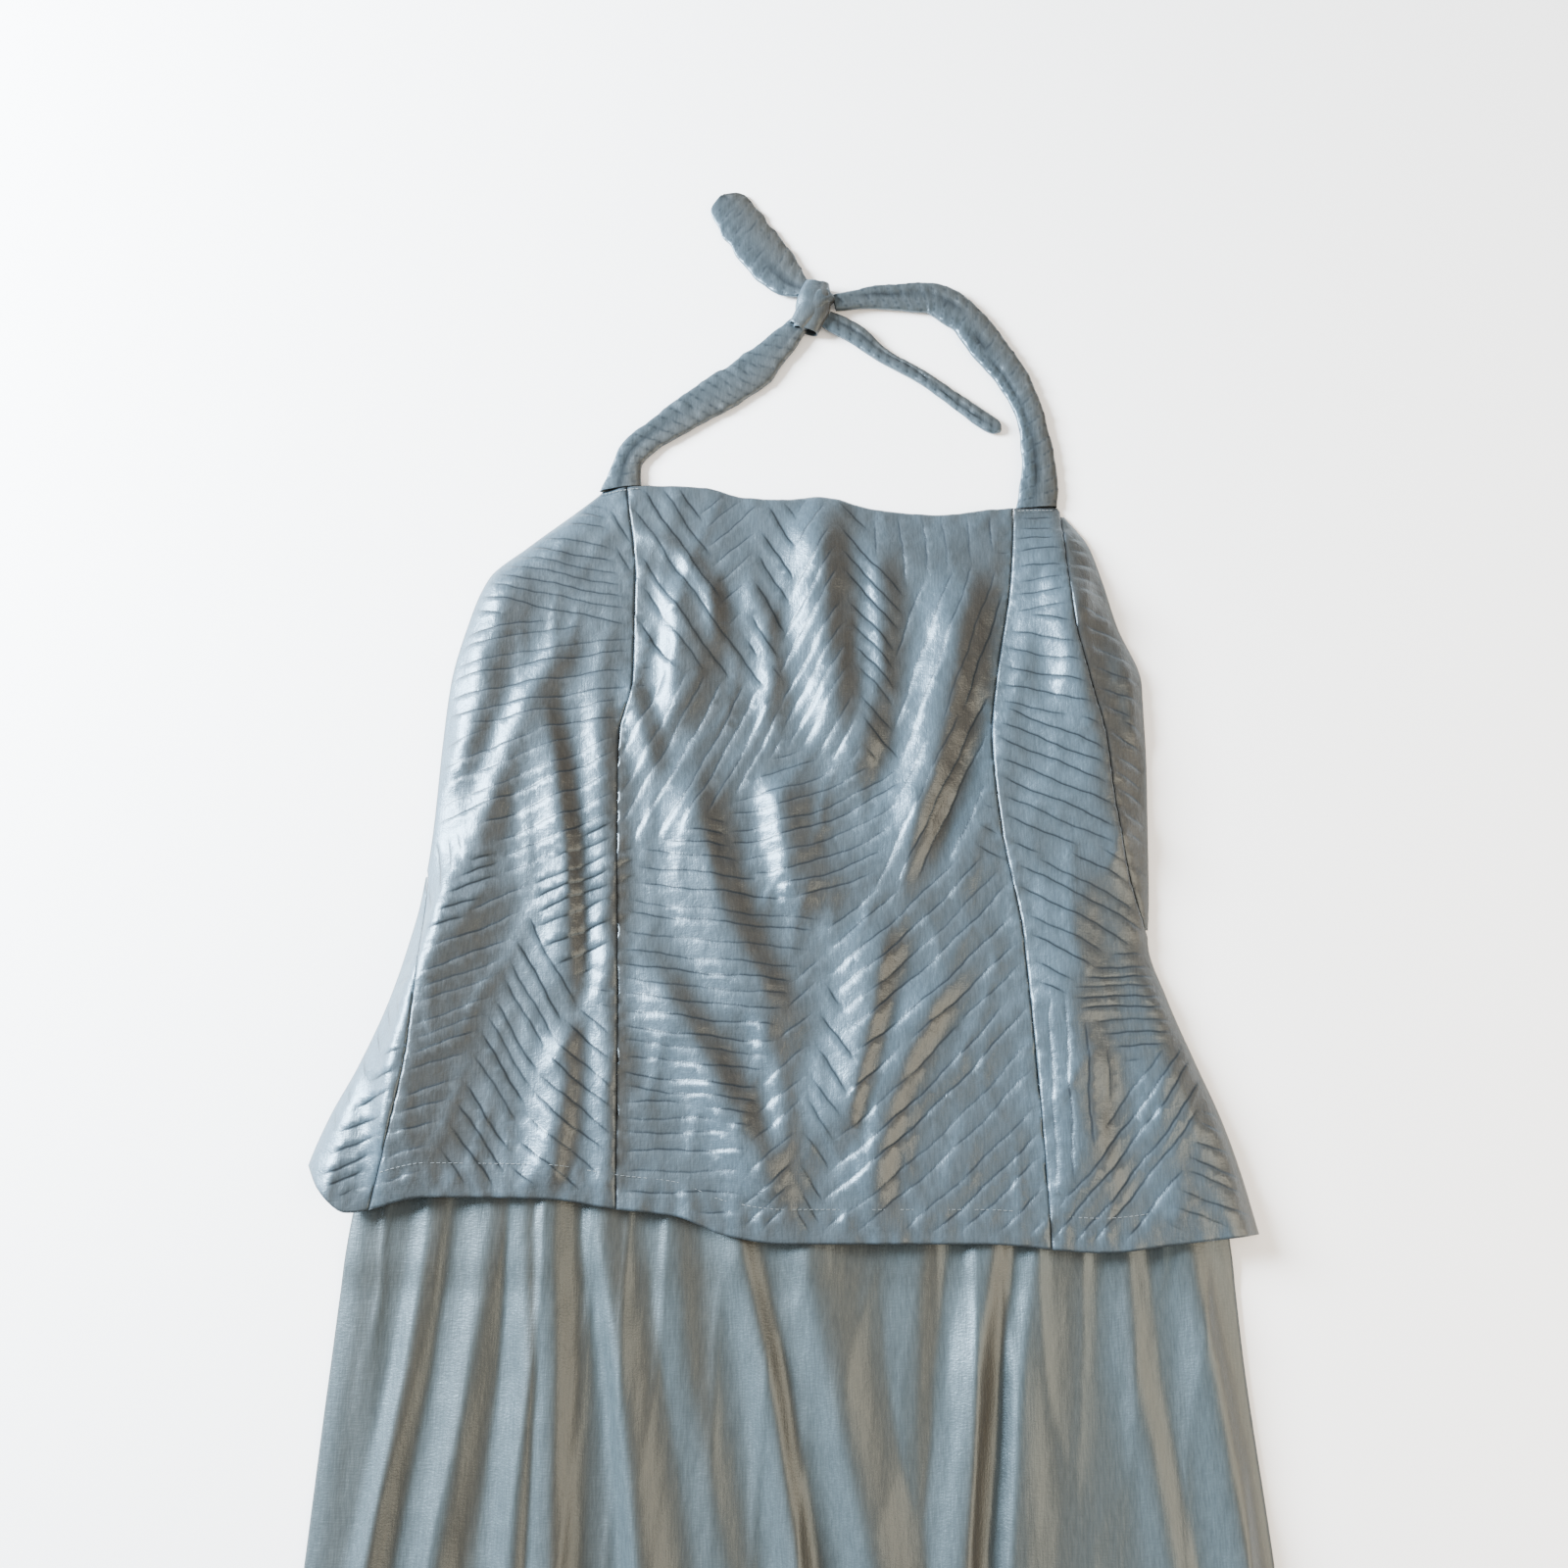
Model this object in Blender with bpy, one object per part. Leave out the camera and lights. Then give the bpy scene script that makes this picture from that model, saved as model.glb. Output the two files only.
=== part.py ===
"""A halter dress laid flat, face up, on a level surface.

Metres, +Z up. +Y runs from the hem to the neck tie and +X to the viewer's right.
The tables below are read in a layout frame whose zero lies on the bodice; ROW_SHIFT
moves the finished dress so that its origin is the middle of the floor it covers.
"""

import math

import bpy
import numpy as np
from mathutils import Vector
from mathutils.bvhtree import BVHTree
from mathutils.geometry import delaunay_2d_cdt

# Driving sizes
CLOTH = 0.0020
BACK_CLOTH = 0.0015
SKIRT_CLOTH = 0.0018
GAP = 0.0003
WAIST_Y = -0.085
SKIRT_HEM_Y = -0.830
TIE_TOP_Y = 0.4438
ROW_SHIFT = Vector((0.0, -(SKIRT_HEM_Y + TIE_TOP_Y) / 2, 0.0))
BACK_TOP_Y = 0.112
ROLL_WIDTH = 0.022
RIM_OUT = 0.0015
RIM_IN = 0.0033
RIM_ROWS = (0.0030, 0.0085)
TUCK_HEIGHT = 0.0013
TUCK_STEP = 0.0009
SHORTEST_TUCK = 0.0250
LAYER_CLEARANCE = 0.0012

# Bodice outline: height up the garment, left edge, right edge
BODICE_SIDES = (
    (0.2050, -0.124, 0.181),
    (0.1940, -0.137, 0.186),
    (0.1650, -0.173, 0.206),
    (0.1430, -0.198, 0.213),
    (0.1080, -0.211, 0.222),
    (0.0670, -0.220, 0.236),
    (0.0270, -0.223, 0.236),
    (-0.0330, -0.226, 0.234),
    (-0.0780, -0.231, 0.232),
    (-0.1050, -0.237, 0.230),
    (-0.1400, -0.247, 0.240),
    (-0.1820, -0.264, 0.256),
    (-0.2120, -0.279, 0.268),
    (-0.2410, -0.290, 0.277),
    (-0.2830, -0.300, 0.287),
)
# Neckline: across, up
NECKLINE = (
    (-0.140, 0.203),
    (-0.094, 0.209),
    (-0.054, 0.207),
    (-0.027, 0.200),
    (0.000, 0.198),
    (0.020, 0.200),
    (0.067, 0.190),
    (0.107, 0.187),
    (0.140, 0.191),
    (0.190, 0.194),
)
# Lower edge of the peplum: across, up
PEPLUM_HEM = (
    (-0.300, -0.228),
    (-0.290, -0.241),
    (-0.280, -0.255),
    (-0.261, -0.269),
    (-0.214, -0.260),
    (-0.143, -0.261),
    (-0.100, -0.267),
    (-0.065, -0.271),
    (-0.035, -0.282),
    (0.000, -0.287),
    (0.118, -0.287),
    (0.189, -0.292),
    (0.236, -0.287),
    (0.290, -0.281),
)
# Bodice seams: height, then how far across each seam lies
PRINCESS_SEAMS = (
    (0.208, -0.107, 0.157),
    (0.136, -0.099, 0.151),
    (0.066, -0.099, 0.139),
    (0.030, -0.107, 0.135),
    (-0.033, -0.106, 0.139),
    (-0.096, -0.104, 0.149),
    (-0.158, -0.102, 0.153),
    (-0.218, -0.101, 0.156),
    (-0.295, -0.100, 0.159),
)
LEFT_SIDE_SEAM = (
    (-0.060, -0.2275),
    (-0.100, -0.2265),
    (-0.167, -0.2290),
    (-0.205, -0.2340),
    (-0.275, -0.2500),
)
RIGHT_SIDE_SEAM = (
    (0.190, 0.1875),
    (0.165, 0.1880),
    (0.115, 0.1900),
    (0.067, 0.1990),
    (0.026, 0.2080),
    (-0.010, 0.2110),
    (-0.064, 0.2190),
    (-0.098, 0.2290),
)
# How high the front of the bodice stands: height up the garment, loft above the floor
BODICE_LOFT = (
    (0.210, 0.0070),
    (0.150, 0.0090),
    (0.050, 0.0100),
    (-0.085, 0.0120),
    (-0.200, 0.0145),
    (-0.300, 0.0165),
)
# Large folds of the bodice, each down the garment: from x, y, to x, y, sideways bend, height,
# half width on its left, half width on its right
BODICE_FOLDS = (
    (-0.183, 0.142, -0.213, -0.003, 0.004, 0.0037, 0.014, 0.012),
    (-0.145, 0.097, -0.200, -0.055, -0.005, 0.0050, 0.010, 0.012),
    (-0.205, -0.055, -0.237, -0.253, -0.012, 0.0112, 0.010, 0.038),
    (-0.156, 0.050, -0.132, -0.141, 0.006, 0.0075, 0.020, 0.007),
    (-0.134, -0.154, -0.141, -0.256, 0.003, 0.0063, 0.016, 0.009),
    (-0.121, 0.077, -0.106, -0.256, 0.002, 0.0046, 0.010, 0.010),
    (-0.102, 0.070, -0.083, 0.000, 0.001, 0.0037, 0.009, 0.008),
    (-0.062, 0.010, 0.000, -0.160, -0.010, 0.0094, 0.026, 0.013),
    (-0.072, 0.138, -0.071, 0.036, 0.002, 0.0075, 0.010, 0.024),
    (-0.105, 0.174, -0.044, 0.094, 0.019, 0.0037, 0.007, 0.007),
    (-0.021, 0.131, -0.011, 0.036, 0.007, 0.0037, 0.008, 0.008),
    (0.024, 0.192, 0.039, 0.016, -0.004, 0.0100, 0.018, 0.015),
    (-0.003, 0.000, 0.011, -0.086, -0.004, 0.0075, 0.010, 0.018),
    (0.062, 0.160, 0.043, -0.003, 0.011, 0.0050, 0.010, 0.012),
    (0.121, 0.138, 0.076, -0.061, 0.004, 0.0090, 0.020, 0.013),
    (0.150, 0.174, 0.093, -0.055, 0.014, -0.0034, 0.012, 0.011),
    (-0.090, -0.114, 0.000, -0.267, 0.003, 0.0088, 0.018, 0.012),
    (-0.017, -0.147, 0.000, -0.242, 0.006, 0.0037, 0.008, 0.009),
    (0.063, -0.095, 0.031, -0.230, 0.003, 0.0081, 0.022, 0.009),
    (0.103, -0.129, 0.054, -0.270, -0.012, 0.0063, 0.016, 0.010),
    (0.185, -0.055, 0.183, -0.270, -0.005, 0.0075, 0.022, 0.018),
    (0.196, 0.160, 0.186, -0.055, -0.001, 0.0050, 0.024, 0.018),
    (0.208, 0.125, 0.228, 0.023, 0.007, 0.0037, 0.010, 0.009),
    (0.228, -0.177, 0.237, -0.276, 0.002, 0.0031, 0.014, 0.012),
)
# Tucked leaves: centre x, y, axis angle, half length, half width, rib angle from the axis,
# rib spacing, whether the ribs repeat on the axis's other side, bow of a rib
LEAVES = (
    (-0.160, 0.150, 80, 0.052, 0.056, -92, 0.0115, False, 0.0),
    (-0.166, 0.070, 80, 0.050, 0.052, -70, 0.0115, False, -0.4),
    (-0.166, -0.006, 80, 0.050, 0.056, -58, 0.0120, False, 0.6),
    (-0.206, -0.062, 62, 0.044, 0.022, 42, 0.0100, True, 0.0),
    (-0.128, -0.078, 72, 0.050, 0.030, 130, 0.0120, False, 0.0),
    (-0.190, -0.170, 252, 0.098, 0.046, 50, 0.0120, True, 0.8),
    (-0.130, -0.215, 80, 0.060, 0.030, -118, 0.0125, False, 0.8),
    (-0.262, -0.205, 62, 0.060, 0.026, 40, 0.0100, True, 0.0),
    (-0.072, 0.132, 128, 0.070, 0.030, 176, 0.0130, False, 0.3),
    (-0.022, 0.140, 262, 0.058, 0.028, 38, 0.0120, True, 0.0),
    (0.042, 0.100, 276, 0.086, 0.034, 34, 0.0120, True, 0.0),
    (0.100, 0.166, 8, 0.044, 0.024, 86, 0.0150, False, 0.0),
    (0.106, 0.092, 64, 0.066, 0.032, 6, 0.0150, False, 0.0),
    (-0.066, 0.012, 58, 0.056, 0.034, 4, 0.0120, False, 0.5),
    (-0.052, -0.130, 88, 0.096, 0.056, -94, 0.0110, False, 0.5),
    (-0.070, -0.235, 88, 0.042, 0.040, -88, 0.0110, False, 0.0),
    (0.022, -0.034, 20, 0.062, 0.036, 0, 0.0120, False, 2.4),
    (0.100, -0.014, 60, 0.062, 0.026, 4, 0.0130, False, 0.0),
    (0.012, -0.205, 262, 0.082, 0.026, 42, 0.0120, True, 0.0),
    (0.090, -0.118, 40, 0.070, 0.046, 2, 0.0140, False, 0.8),
    (0.096, -0.222, 42, 0.082, 0.060, 0, 0.0145, False, 0.8),
    (0.178, 0.150, 88, 0.042, 0.034, -88, 0.0105, False, -1.4),
    (0.186, 0.078, 76, 0.044, 0.040, -92, 0.0115, False, 0.0),
    (0.172, -0.006, 74, 0.056, 0.046, -100, 0.0125, False, 0.0),
    (0.178, -0.086, 84, 0.048, 0.040, -112, 0.0130, False, 0.0),
    (0.208, -0.142, 88, 0.032, 0.030, -86, 0.0080, False, 0.0),
    (0.174, -0.196, 80, 0.052, 0.026, 10, 0.0120, False, 0.0),
    (0.224, -0.226, 50, 0.060, 0.030, 0, 0.0115, False, 0.5),
    (0.262, -0.226, 76, 0.056, 0.024, -96, 0.0110, False, 0.0),
)
# Skirt outline: height, left edge, right edge
SKIRT_SIDES = (
    (-0.085, -0.203, 0.205),
    (-0.200, -0.239, 0.244),
    (-0.275, -0.261, 0.267),
    (-0.360, -0.268, 0.272),
    (-0.466, -0.275, 0.281),
    (-0.650, -0.288, 0.291),
    (-0.830, -0.300, 0.300),
)
# Skirt folds: crest at the four heights of SKIRT_FOLD_ROWS, height at the first three,
# half width on its left, half width on its right
SKIRT_FOLDS = (
    (-0.212, -0.222, -0.238, -0.262, 0.0040, 0.0050, 0.0050, 0.007, 0.009),
    (-0.175, -0.184, -0.198, -0.218, 0.0050, 0.0050, 0.0060, 0.014, 0.012),
    (-0.154, -0.149, -0.154, -0.168, 0.0070, 0.0080, 0.0070, 0.012, 0.012),
    (-0.139, -0.134, -0.133, -0.138, 0.0080, 0.0090, 0.0080, 0.020, 0.011),
    (-0.110, -0.096, -0.083, -0.078, 0.0060, 0.0080, 0.0080, 0.008, 0.016),
    (-0.066, -0.057, -0.033, -0.022, 0.0035, 0.0030, 0.0020, 0.012, 0.010),
    (-0.028, -0.009, 0.008, 0.018, 0.0060, 0.0070, 0.0070, 0.013, 0.007),
    (0.012, 0.027, 0.051, 0.062, 0.0070, 0.0080, 0.0080, 0.014, 0.022),
    (0.083, 0.077, 0.074, 0.084, 0.0050, 0.0030, 0.0005, 0.014, 0.009),
    (0.125, 0.113, 0.102, 0.106, 0.0070, 0.0090, 0.0070, 0.015, 0.009),
    (0.153, 0.141, 0.131, 0.138, 0.0055, 0.0055, 0.0040, 0.009, 0.024),
    (0.204, 0.205, 0.222, 0.236, 0.0030, 0.0040, 0.0030, 0.012, 0.010),
    (0.240, 0.251, 0.262, 0.272, 0.0060, 0.0080, 0.0070, 0.016, 0.009),
)
SKIRT_FOLD_ROWS = (-0.279, -0.359, -0.463, -0.830)
# Share of a fold's height that shows: height up the garment, share
SKIRT_SWELL = (
    (-0.085, 0.20),
    (-0.200, 0.50),
    (-0.285, 0.85),
    (-0.340, 1.10),
    (-0.500, 1.30),
    (-0.830, 1.30),
)
SKIRT_STATIONS = (-0.085, -0.130, -0.180, -0.225, -0.260, -0.290, -0.305, -0.330, -0.370,
                  -0.440, -0.530, -0.650, -0.760, -0.830)
FLOOR_RAMP = (-0.316, -0.293)
# Ribbons of the neck tie: x, y, underside, thickness, width, edge lift
LEFT_STRAP = (
    (-0.1114, 0.2010, 0.0000, 0.0058, 0.029, 0.0000),
    (-0.1060, 0.2300, 0.0000, 0.0048, 0.020, 0.0006),
    (-0.0771, 0.2574, 0.0000, 0.0042, 0.023, 0.0014),
    (-0.0462, 0.2792, 0.0000, 0.0042, 0.029, 0.0018),
    (-0.0245, 0.2943, 0.0000, 0.0044, 0.028, 0.0018),
    (-0.0055, 0.3141, 0.0004, 0.0048, 0.022, 0.0012),
    (0.0103, 0.3318, 0.0016, 0.0054, 0.015, 0.0004),
)
RIGHT_STRAP = (
    (0.1710, 0.1870, 0.0000, 0.0058, 0.029, 0.0000),
    (0.1745, 0.2212, 0.0000, 0.0050, 0.024, 0.0008),
    (0.1710, 0.2574, 0.0000, 0.0050, 0.020, 0.0012),
    (0.1607, 0.2875, 0.0000, 0.0048, 0.022, 0.0014),
    (0.1432, 0.3148, 0.0000, 0.0048, 0.026, 0.0016),
    (0.1242, 0.3410, 0.0000, 0.0050, 0.026, 0.0018),
    (0.1000, 0.3545, 0.0000, 0.0054, 0.024, 0.0018),
    (0.0700, 0.3545, 0.0006, 0.0054, 0.019, 0.0012),
    (0.0355, 0.3490, 0.0020, 0.0060, 0.012, 0.0004),
)
LEFT_END = (
    (0.0140, 0.3600, 0.0020, 0.0052, 0.014, 0.0002),
    (0.0040, 0.3670, 0.0008, 0.0044, 0.026, 0.0012),
    (-0.0090, 0.3830, 0.0000, 0.0036, 0.034, 0.0014),
    (-0.0266, 0.4088, 0.0000, 0.0032, 0.034, 0.0006),
    (-0.0390, 0.4290, 0.0000, 0.0032, 0.030, 0.0002),
    (-0.0445, 0.4380, 0.0000, 0.0030, 0.023, 0.0000),
)
RIGHT_END = (
    (0.0300, 0.3362, 0.0020, 0.0052, 0.014, 0.0002),
    (0.0495, 0.3256, 0.0010, 0.0048, 0.015, 0.0006),
    (0.0684, 0.3097, 0.0000, 0.0048, 0.011, 0.0004),
    (0.0954, 0.2928, 0.0000, 0.0048, 0.010, 0.0002),
    (0.1188, 0.2746, 0.0000, 0.0046, 0.011, 0.0002),
    (0.1406, 0.2574, 0.0000, 0.0046, 0.013, 0.0000),
    (0.1495, 0.2515, 0.0000, 0.0036, 0.009, 0.0000),
)
# Knot: the two bands that wrap the straps, with the same columns
KNOT_BANDS = (
    (
        (0.0155, 0.3285, 0.0012, 0.0100, 0.020, 0.0),
        (0.0190, 0.3385, 0.0010, 0.0125, 0.024, 0.0),
        (0.0215, 0.3515, 0.0010, 0.0130, 0.024, 0.0),
        (0.0235, 0.3630, 0.0014, 0.0100, 0.019, 0.0),
    ),
    (
        (0.0115, 0.3330, 0.0010, 0.0090, 0.016, 0.0),
        (0.0180, 0.3430, 0.0010, 0.0110, 0.020, 0.0),
        (0.0270, 0.3510, 0.0012, 0.0112, 0.020, 0.0),
        (0.0315, 0.3535, 0.0016, 0.0090, 0.017, 0.0),
    ),
)
KNOT_CENTRE = np.array([0.0212, 0.3460])
KNOT_REACH = np.array([0.0188, 0.0234])

SILK_BLUE = (0.235, 0.300, 0.330, 1.0)
SILK_BROWN = (0.215, 0.215, 0.200, 1.0)


def curve_through(table, column):
    """Smooth function of the table's first column that passes through every row."""
    rows = np.array([(row[0], row[column]) for row in table], float)
    rows = rows[np.argsort(rows[:, 0])]
    at, value = rows[:, 0], rows[:, 1]
    run = np.diff(at)
    chord = np.diff(value) / run
    slope = np.zeros(len(at))
    for i in range(1, len(at) - 1):
        if chord[i - 1] * chord[i] > 0:
            a, b = 2 * run[i] + run[i - 1], run[i] + 2 * run[i - 1]
            slope[i] = (a + b) / (a / chord[i - 1] + b / chord[i])
    slope[0], slope[-1] = chord[0], chord[-1]

    def read(t):
        t = np.clip(np.asarray(t, float), at[0], at[-1])
        i = np.clip(np.searchsorted(at, t) - 1, 0, len(run) - 1)
        s = (t - at[i]) / run[i]
        rise = value[i] * (2 * s**3 - 3 * s**2 + 1) + value[i + 1] * (3 * s**2 - 2 * s**3)
        return rise + run[i] * (slope[i] * (s**3 - 2 * s**2 + s) + slope[i + 1] * (s**3 - s**2))

    return read


def smoothstep(low, high, t):
    """0 below low, 1 above high, smooth between."""
    s = np.clip((np.asarray(t, float) - low) / (high - low), 0.0, 1.0)
    return s * s * (3 - 2 * s)


body_left = curve_through(BODICE_SIDES, 1)
body_right = curve_through(BODICE_SIDES, 2)
neck_edge = curve_through(NECKLINE, 1)
peplum_edge = curve_through(PEPLUM_HEM, 1)
princess_left = curve_through(PRINCESS_SEAMS, 1)
princess_right = curve_through(PRINCESS_SEAMS, 2)
side_left = curve_through(LEFT_SIDE_SEAM, 1)
side_right = curve_through(RIGHT_SIDE_SEAM, 1)
bodice_loft = curve_through(BODICE_LOFT, 1)
skirt_left = curve_through(SKIRT_SIDES, 1)
skirt_right = curve_through(SKIRT_SIDES, 2)
skirt_swell = curve_through(SKIRT_SWELL, 1)


def across(curve, y, x):
    """Distance from a near-upright edge curve, measured square to it."""
    lean = (curve(y + 0.004) - curve(y - 0.004)) / 0.008
    return (x - curve(y)) / np.sqrt(1 + lean**2)


def moved_in(curve, distance):
    """A near-upright edge curve moved square to itself, to the right when distance is positive."""
    def read(y):
        y = np.asarray(y, float)
        lean = (curve(y + 0.004) - curve(y - 0.004)) / 0.008
        return curve(y) + distance * np.sqrt(1 + lean**2)

    return read


def fold_centres(y):
    """Where each skirt crest lies across at height y."""
    rows = [-row for row in SKIRT_FOLD_ROWS]
    return [float(np.interp(-y, rows, fold[:4])) for fold in SKIRT_FOLDS]


def skirt_floor(y):
    """What the skirt rests on: the back of the bodice, and past its edge the surface itself."""
    return (BACK_CLOTH + GAP) * smoothstep(*FLOOR_RAMP, y)


def skirt_top(x, y):
    """Outer face of the skirt front."""
    x, y = np.asarray(x, float), np.asarray(y, float)
    swell = np.zeros(np.broadcast(x, y).shape)
    rows = [-row for row in SKIRT_FOLD_ROWS]
    for fold in SKIRT_FOLDS:
        offset = x - np.interp(-y, rows, fold[:4])
        height = np.interp(-y, rows[:3], fold[4:7])
        width = np.where(offset < 0, fold[7], fold[8])
        swell = np.maximum(swell, height * np.exp(-((offset / width) ** 2)))
    lying = skirt_floor(y) + BACK_CLOTH + GAP + SKIRT_CLOTH
    edge = np.minimum(across(skirt_left, y, x), -across(skirt_right, y, x))
    roll = np.clip(edge / 0.014, 0.0, 1.0)
    full = lying + 0.0010 + swell * skirt_swell(y)
    rim = skirt_floor(y) + SKIRT_CLOTH
    return rim + (full - rim) * (1 - (1 - roll) ** 2)


def fold_height(fold, x, y):
    """Height that one bodice fold adds: a soft ridge along a bent line, fading at both ends."""
    x0, y0, x1, y1, bend, height, width_left, width_right = fold
    run = np.array([x1 - x0, y1 - y0])
    length = np.hypot(*run)
    along = run / length
    u = ((x - x0) * along[0] + (y - y0) * along[1]) / length
    v = -(x - x0) * along[1] + (y - y0) * along[0] - bend * 4 * u * (1 - u)
    ends = smoothstep(-0.12, 0.20, u) * smoothstep(-0.12, 0.20, 1 - u)
    return height * ends * np.exp(-((v / np.where(v < 0, width_left, width_right)) ** 2))


def bodice_top(x, y):
    """Outer face of the bodice front, before its tucks."""
    x, y = np.asarray(x, float), np.asarray(y, float)
    neck = neck_edge(x) - y
    full = bodice_loft(y) * (0.72 + 0.28 * smoothstep(0.0, 0.030, neck))
    for fold in BODICE_FOLDS:
        full = full + fold_height(fold, x, y)
    ridge = side_right(np.clip(y, -0.098, 0.190))
    crown = smoothstep(-0.098, -0.020, y) * smoothstep(0.190, 0.110, y)
    full = full + 0.0060 * crown * np.exp(-(((x - ridge + 0.004) / 0.016) ** 2))
    left, right = across(body_left, y, x), -across(body_right, y, x)
    roll_right = ROLL_WIDTH + 0.006 * crown
    roll = np.minimum(np.clip(left / ROLL_WIDTH, 0.0, 1.0), np.clip(right / roll_right, 0.0, 1.0))
    rolled = CLOTH + (full - CLOTH) * (1 - (1 - roll) ** 2)
    under = skirt_top(x, y) + LAYER_CLEARANCE + CLOTH
    inside = smoothstep(-0.002, 0.004, np.minimum(x - skirt_left(y), skirt_right(y) - x))
    inside = inside * smoothstep(WAIST_Y + 0.012, WAIST_Y + 0.002, y)
    return np.maximum(rolled, under * inside)


def slope_factor(surface, x, y):
    """How much thicker a wall must be when measured straight down, from the slope of its face."""
    step = 0.001
    dx = (surface(x + step, y) - surface(x - step, y)) / (2 * step)
    dy = (surface(x, y + step) - surface(x, y - step)) / (2 * step)
    return np.minimum(np.sqrt(1 + dx**2 + dy**2), 1.5)


def bodice_rest(x, y):
    """Lowest that the inner face of the bodice front may lie: clear of all that it covers."""
    x, y = np.asarray(x, float), np.asarray(y, float)
    edge = np.minimum(across(body_left, y, x), -across(body_right, y, x))
    backed = smoothstep(BACK_TOP_Y + 0.024, BACK_TOP_Y + 0.002, y)
    lowest = (BACK_CLOTH + GAP) * smoothstep(RIM_OUT, RIM_IN - 0.0002, edge) * backed
    covered = smoothstep(-0.002, 0.001, np.minimum(x - skirt_left(y), skirt_right(y) - x))
    covered = covered * smoothstep(WAIST_Y + 0.008, WAIST_Y + 0.002, y)
    return np.maximum(lowest, (skirt_top(x, y) + LAYER_CLEARANCE * 0.9) * covered)


def bodice_inside(x, y):
    """Inner face of the bodice front: one cloth below the outer face and clear of what it covers."""
    wall = bodice_top(x, y) - CLOTH * slope_factor(bodice_top, x, y)
    return np.maximum(wall, bodice_rest(x, y))


def skirt_inside(x, y):
    """Inner face of the skirt front."""
    x, y = np.asarray(x, float), np.asarray(y, float)
    edge = np.minimum(across(skirt_left, y, x), -across(skirt_right, y, x))
    lowest = skirt_floor(y) + (BACK_CLOTH + GAP) * smoothstep(RIM_OUT, RIM_IN - 0.0002, edge)
    wall = skirt_top(x, y) - SKIRT_CLOTH * slope_factor(skirt_top, x, y)
    return np.maximum(wall, lowest)


def leaf_distance(leaf, x, y):
    """Elliptical distance from a leaf's centre, and the place along and beside its axis."""
    angle = math.radians(leaf[2])
    along = (x - leaf[0]) * math.cos(angle) + (y - leaf[1]) * math.sin(angle)
    beside = -(x - leaf[0]) * math.sin(angle) + (y - leaf[1]) * math.cos(angle)
    return math.hypot(along / leaf[3], beside / leaf[4]), beside


def nearest_leaf(x, y):
    """Index of the leaf that a point of the bodice belongs to, and how clearly it does."""
    distances = sorted((leaf_distance(leaf, x, y)[0], i) for i, leaf in enumerate(LEAVES))
    return distances[0][1], distances[1][0] - distances[0][0]


def rib_lines(index, sample):
    """Every rib of one leaf as a list of points, cut where the leaf meets its neighbours."""
    x, y, axis, half_length, half_width, rib, pitch, mirrored, bow = LEAVES[index]
    axis_angle, rib_angle = math.radians(axis), math.radians(axis + rib)
    direction = np.array([math.cos(rib_angle), math.sin(rib_angle)])
    normal = np.array([-direction[1], direction[0]])
    axis_normal = np.array([-math.sin(axis_angle), math.cos(axis_angle)])
    centre = np.array([x, y])
    reach = half_length + half_width
    lines = []
    for count in range(-int(reach / pitch), int(reach / pitch) + 1):
        for side in (1, -1) if mirrored else (1,):
            run = []
            for u in np.arange(-reach, reach, sample):
                offset = direction * u + normal * (count * pitch + bow * u * u)
                beside = float(offset @ axis_normal)
                fits = beside > 0.0022 if mirrored else True
                if side < 0:
                    offset = offset - 2 * beside * axis_normal
                point = centre + offset
                found, clear = nearest_leaf(*point)
                if fits and found == index and clear > 0.05 and on_bodice(*point):
                    run.append(point)
                elif run:
                    lines.append(run)
                    run = []
            if run:
                lines.append(run)
    return [line for line in lines if (len(line) - 1) * sample > SHORTEST_TUCK]


def on_bodice(x, y):
    """Whether a point lies far enough inside the bodice's edge to hold a tuck."""
    return (
        body_left(y) + 0.004 < x < body_right(y) - 0.004
        and peplum_edge(x) + 0.005 < y < neck_edge(x) - 0.004
    )


def meeting(side_curve, end_curve, start):
    """Point where a near-upright curve meets a near-level one."""
    y = start
    for _ in range(40):
        y = float(end_curve(side_curve(y)))
    return y


def side_points(curve, low, high, shift, step):
    """Points up a near-upright curve, moved sideways by shift."""
    count = max(2, round((high - low) / step) + 1)
    return [(float(curve(y)) + shift, y) for y in np.linspace(low, high, count)]


def level_points(curve, left, right, step):
    """Points along a near-level curve, left to right, its ends left out."""
    count = max(2, round((right - left) / step) + 1)
    return [(x, float(curve(x))) for x in np.linspace(left, right, count)[1:-1]]


def panel_outline(left, right, shift_left, shift_right, step):
    """Anticlockwise outline of a panel between two near-upright curves, from peplum hem to neckline."""
    low_left, low_right = meeting(left, peplum_edge, -0.27), meeting(right, peplum_edge, -0.27)
    top_left, top_right = meeting(left, neck_edge, 0.20), meeting(right, neck_edge, 0.19)
    left_side = side_points(left, low_left, top_left, shift_left, step)
    right_side = side_points(right, low_right, top_right, -shift_right, step)
    hem = level_points(peplum_edge, left_side[0][0], right_side[0][0], step)
    neck = level_points(neck_edge, left_side[-1][0], right_side[-1][0], step)
    return hem + right_side + neck[::-1] + left_side[::-1]


def corner_outline(outer, inner, low, high, outer_shift, inner_shift, step, outer_left):
    """Outline of a narrow side piece between the garment's edge and its side seam."""
    outer_side = side_points(outer, low, high, outer_shift, step)
    inner_side = side_points(inner, low, high, inner_shift, step)
    if outer_left:
        return inner_side + outer_side[::-1]
    return outer_side + inner_side[::-1]


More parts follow.
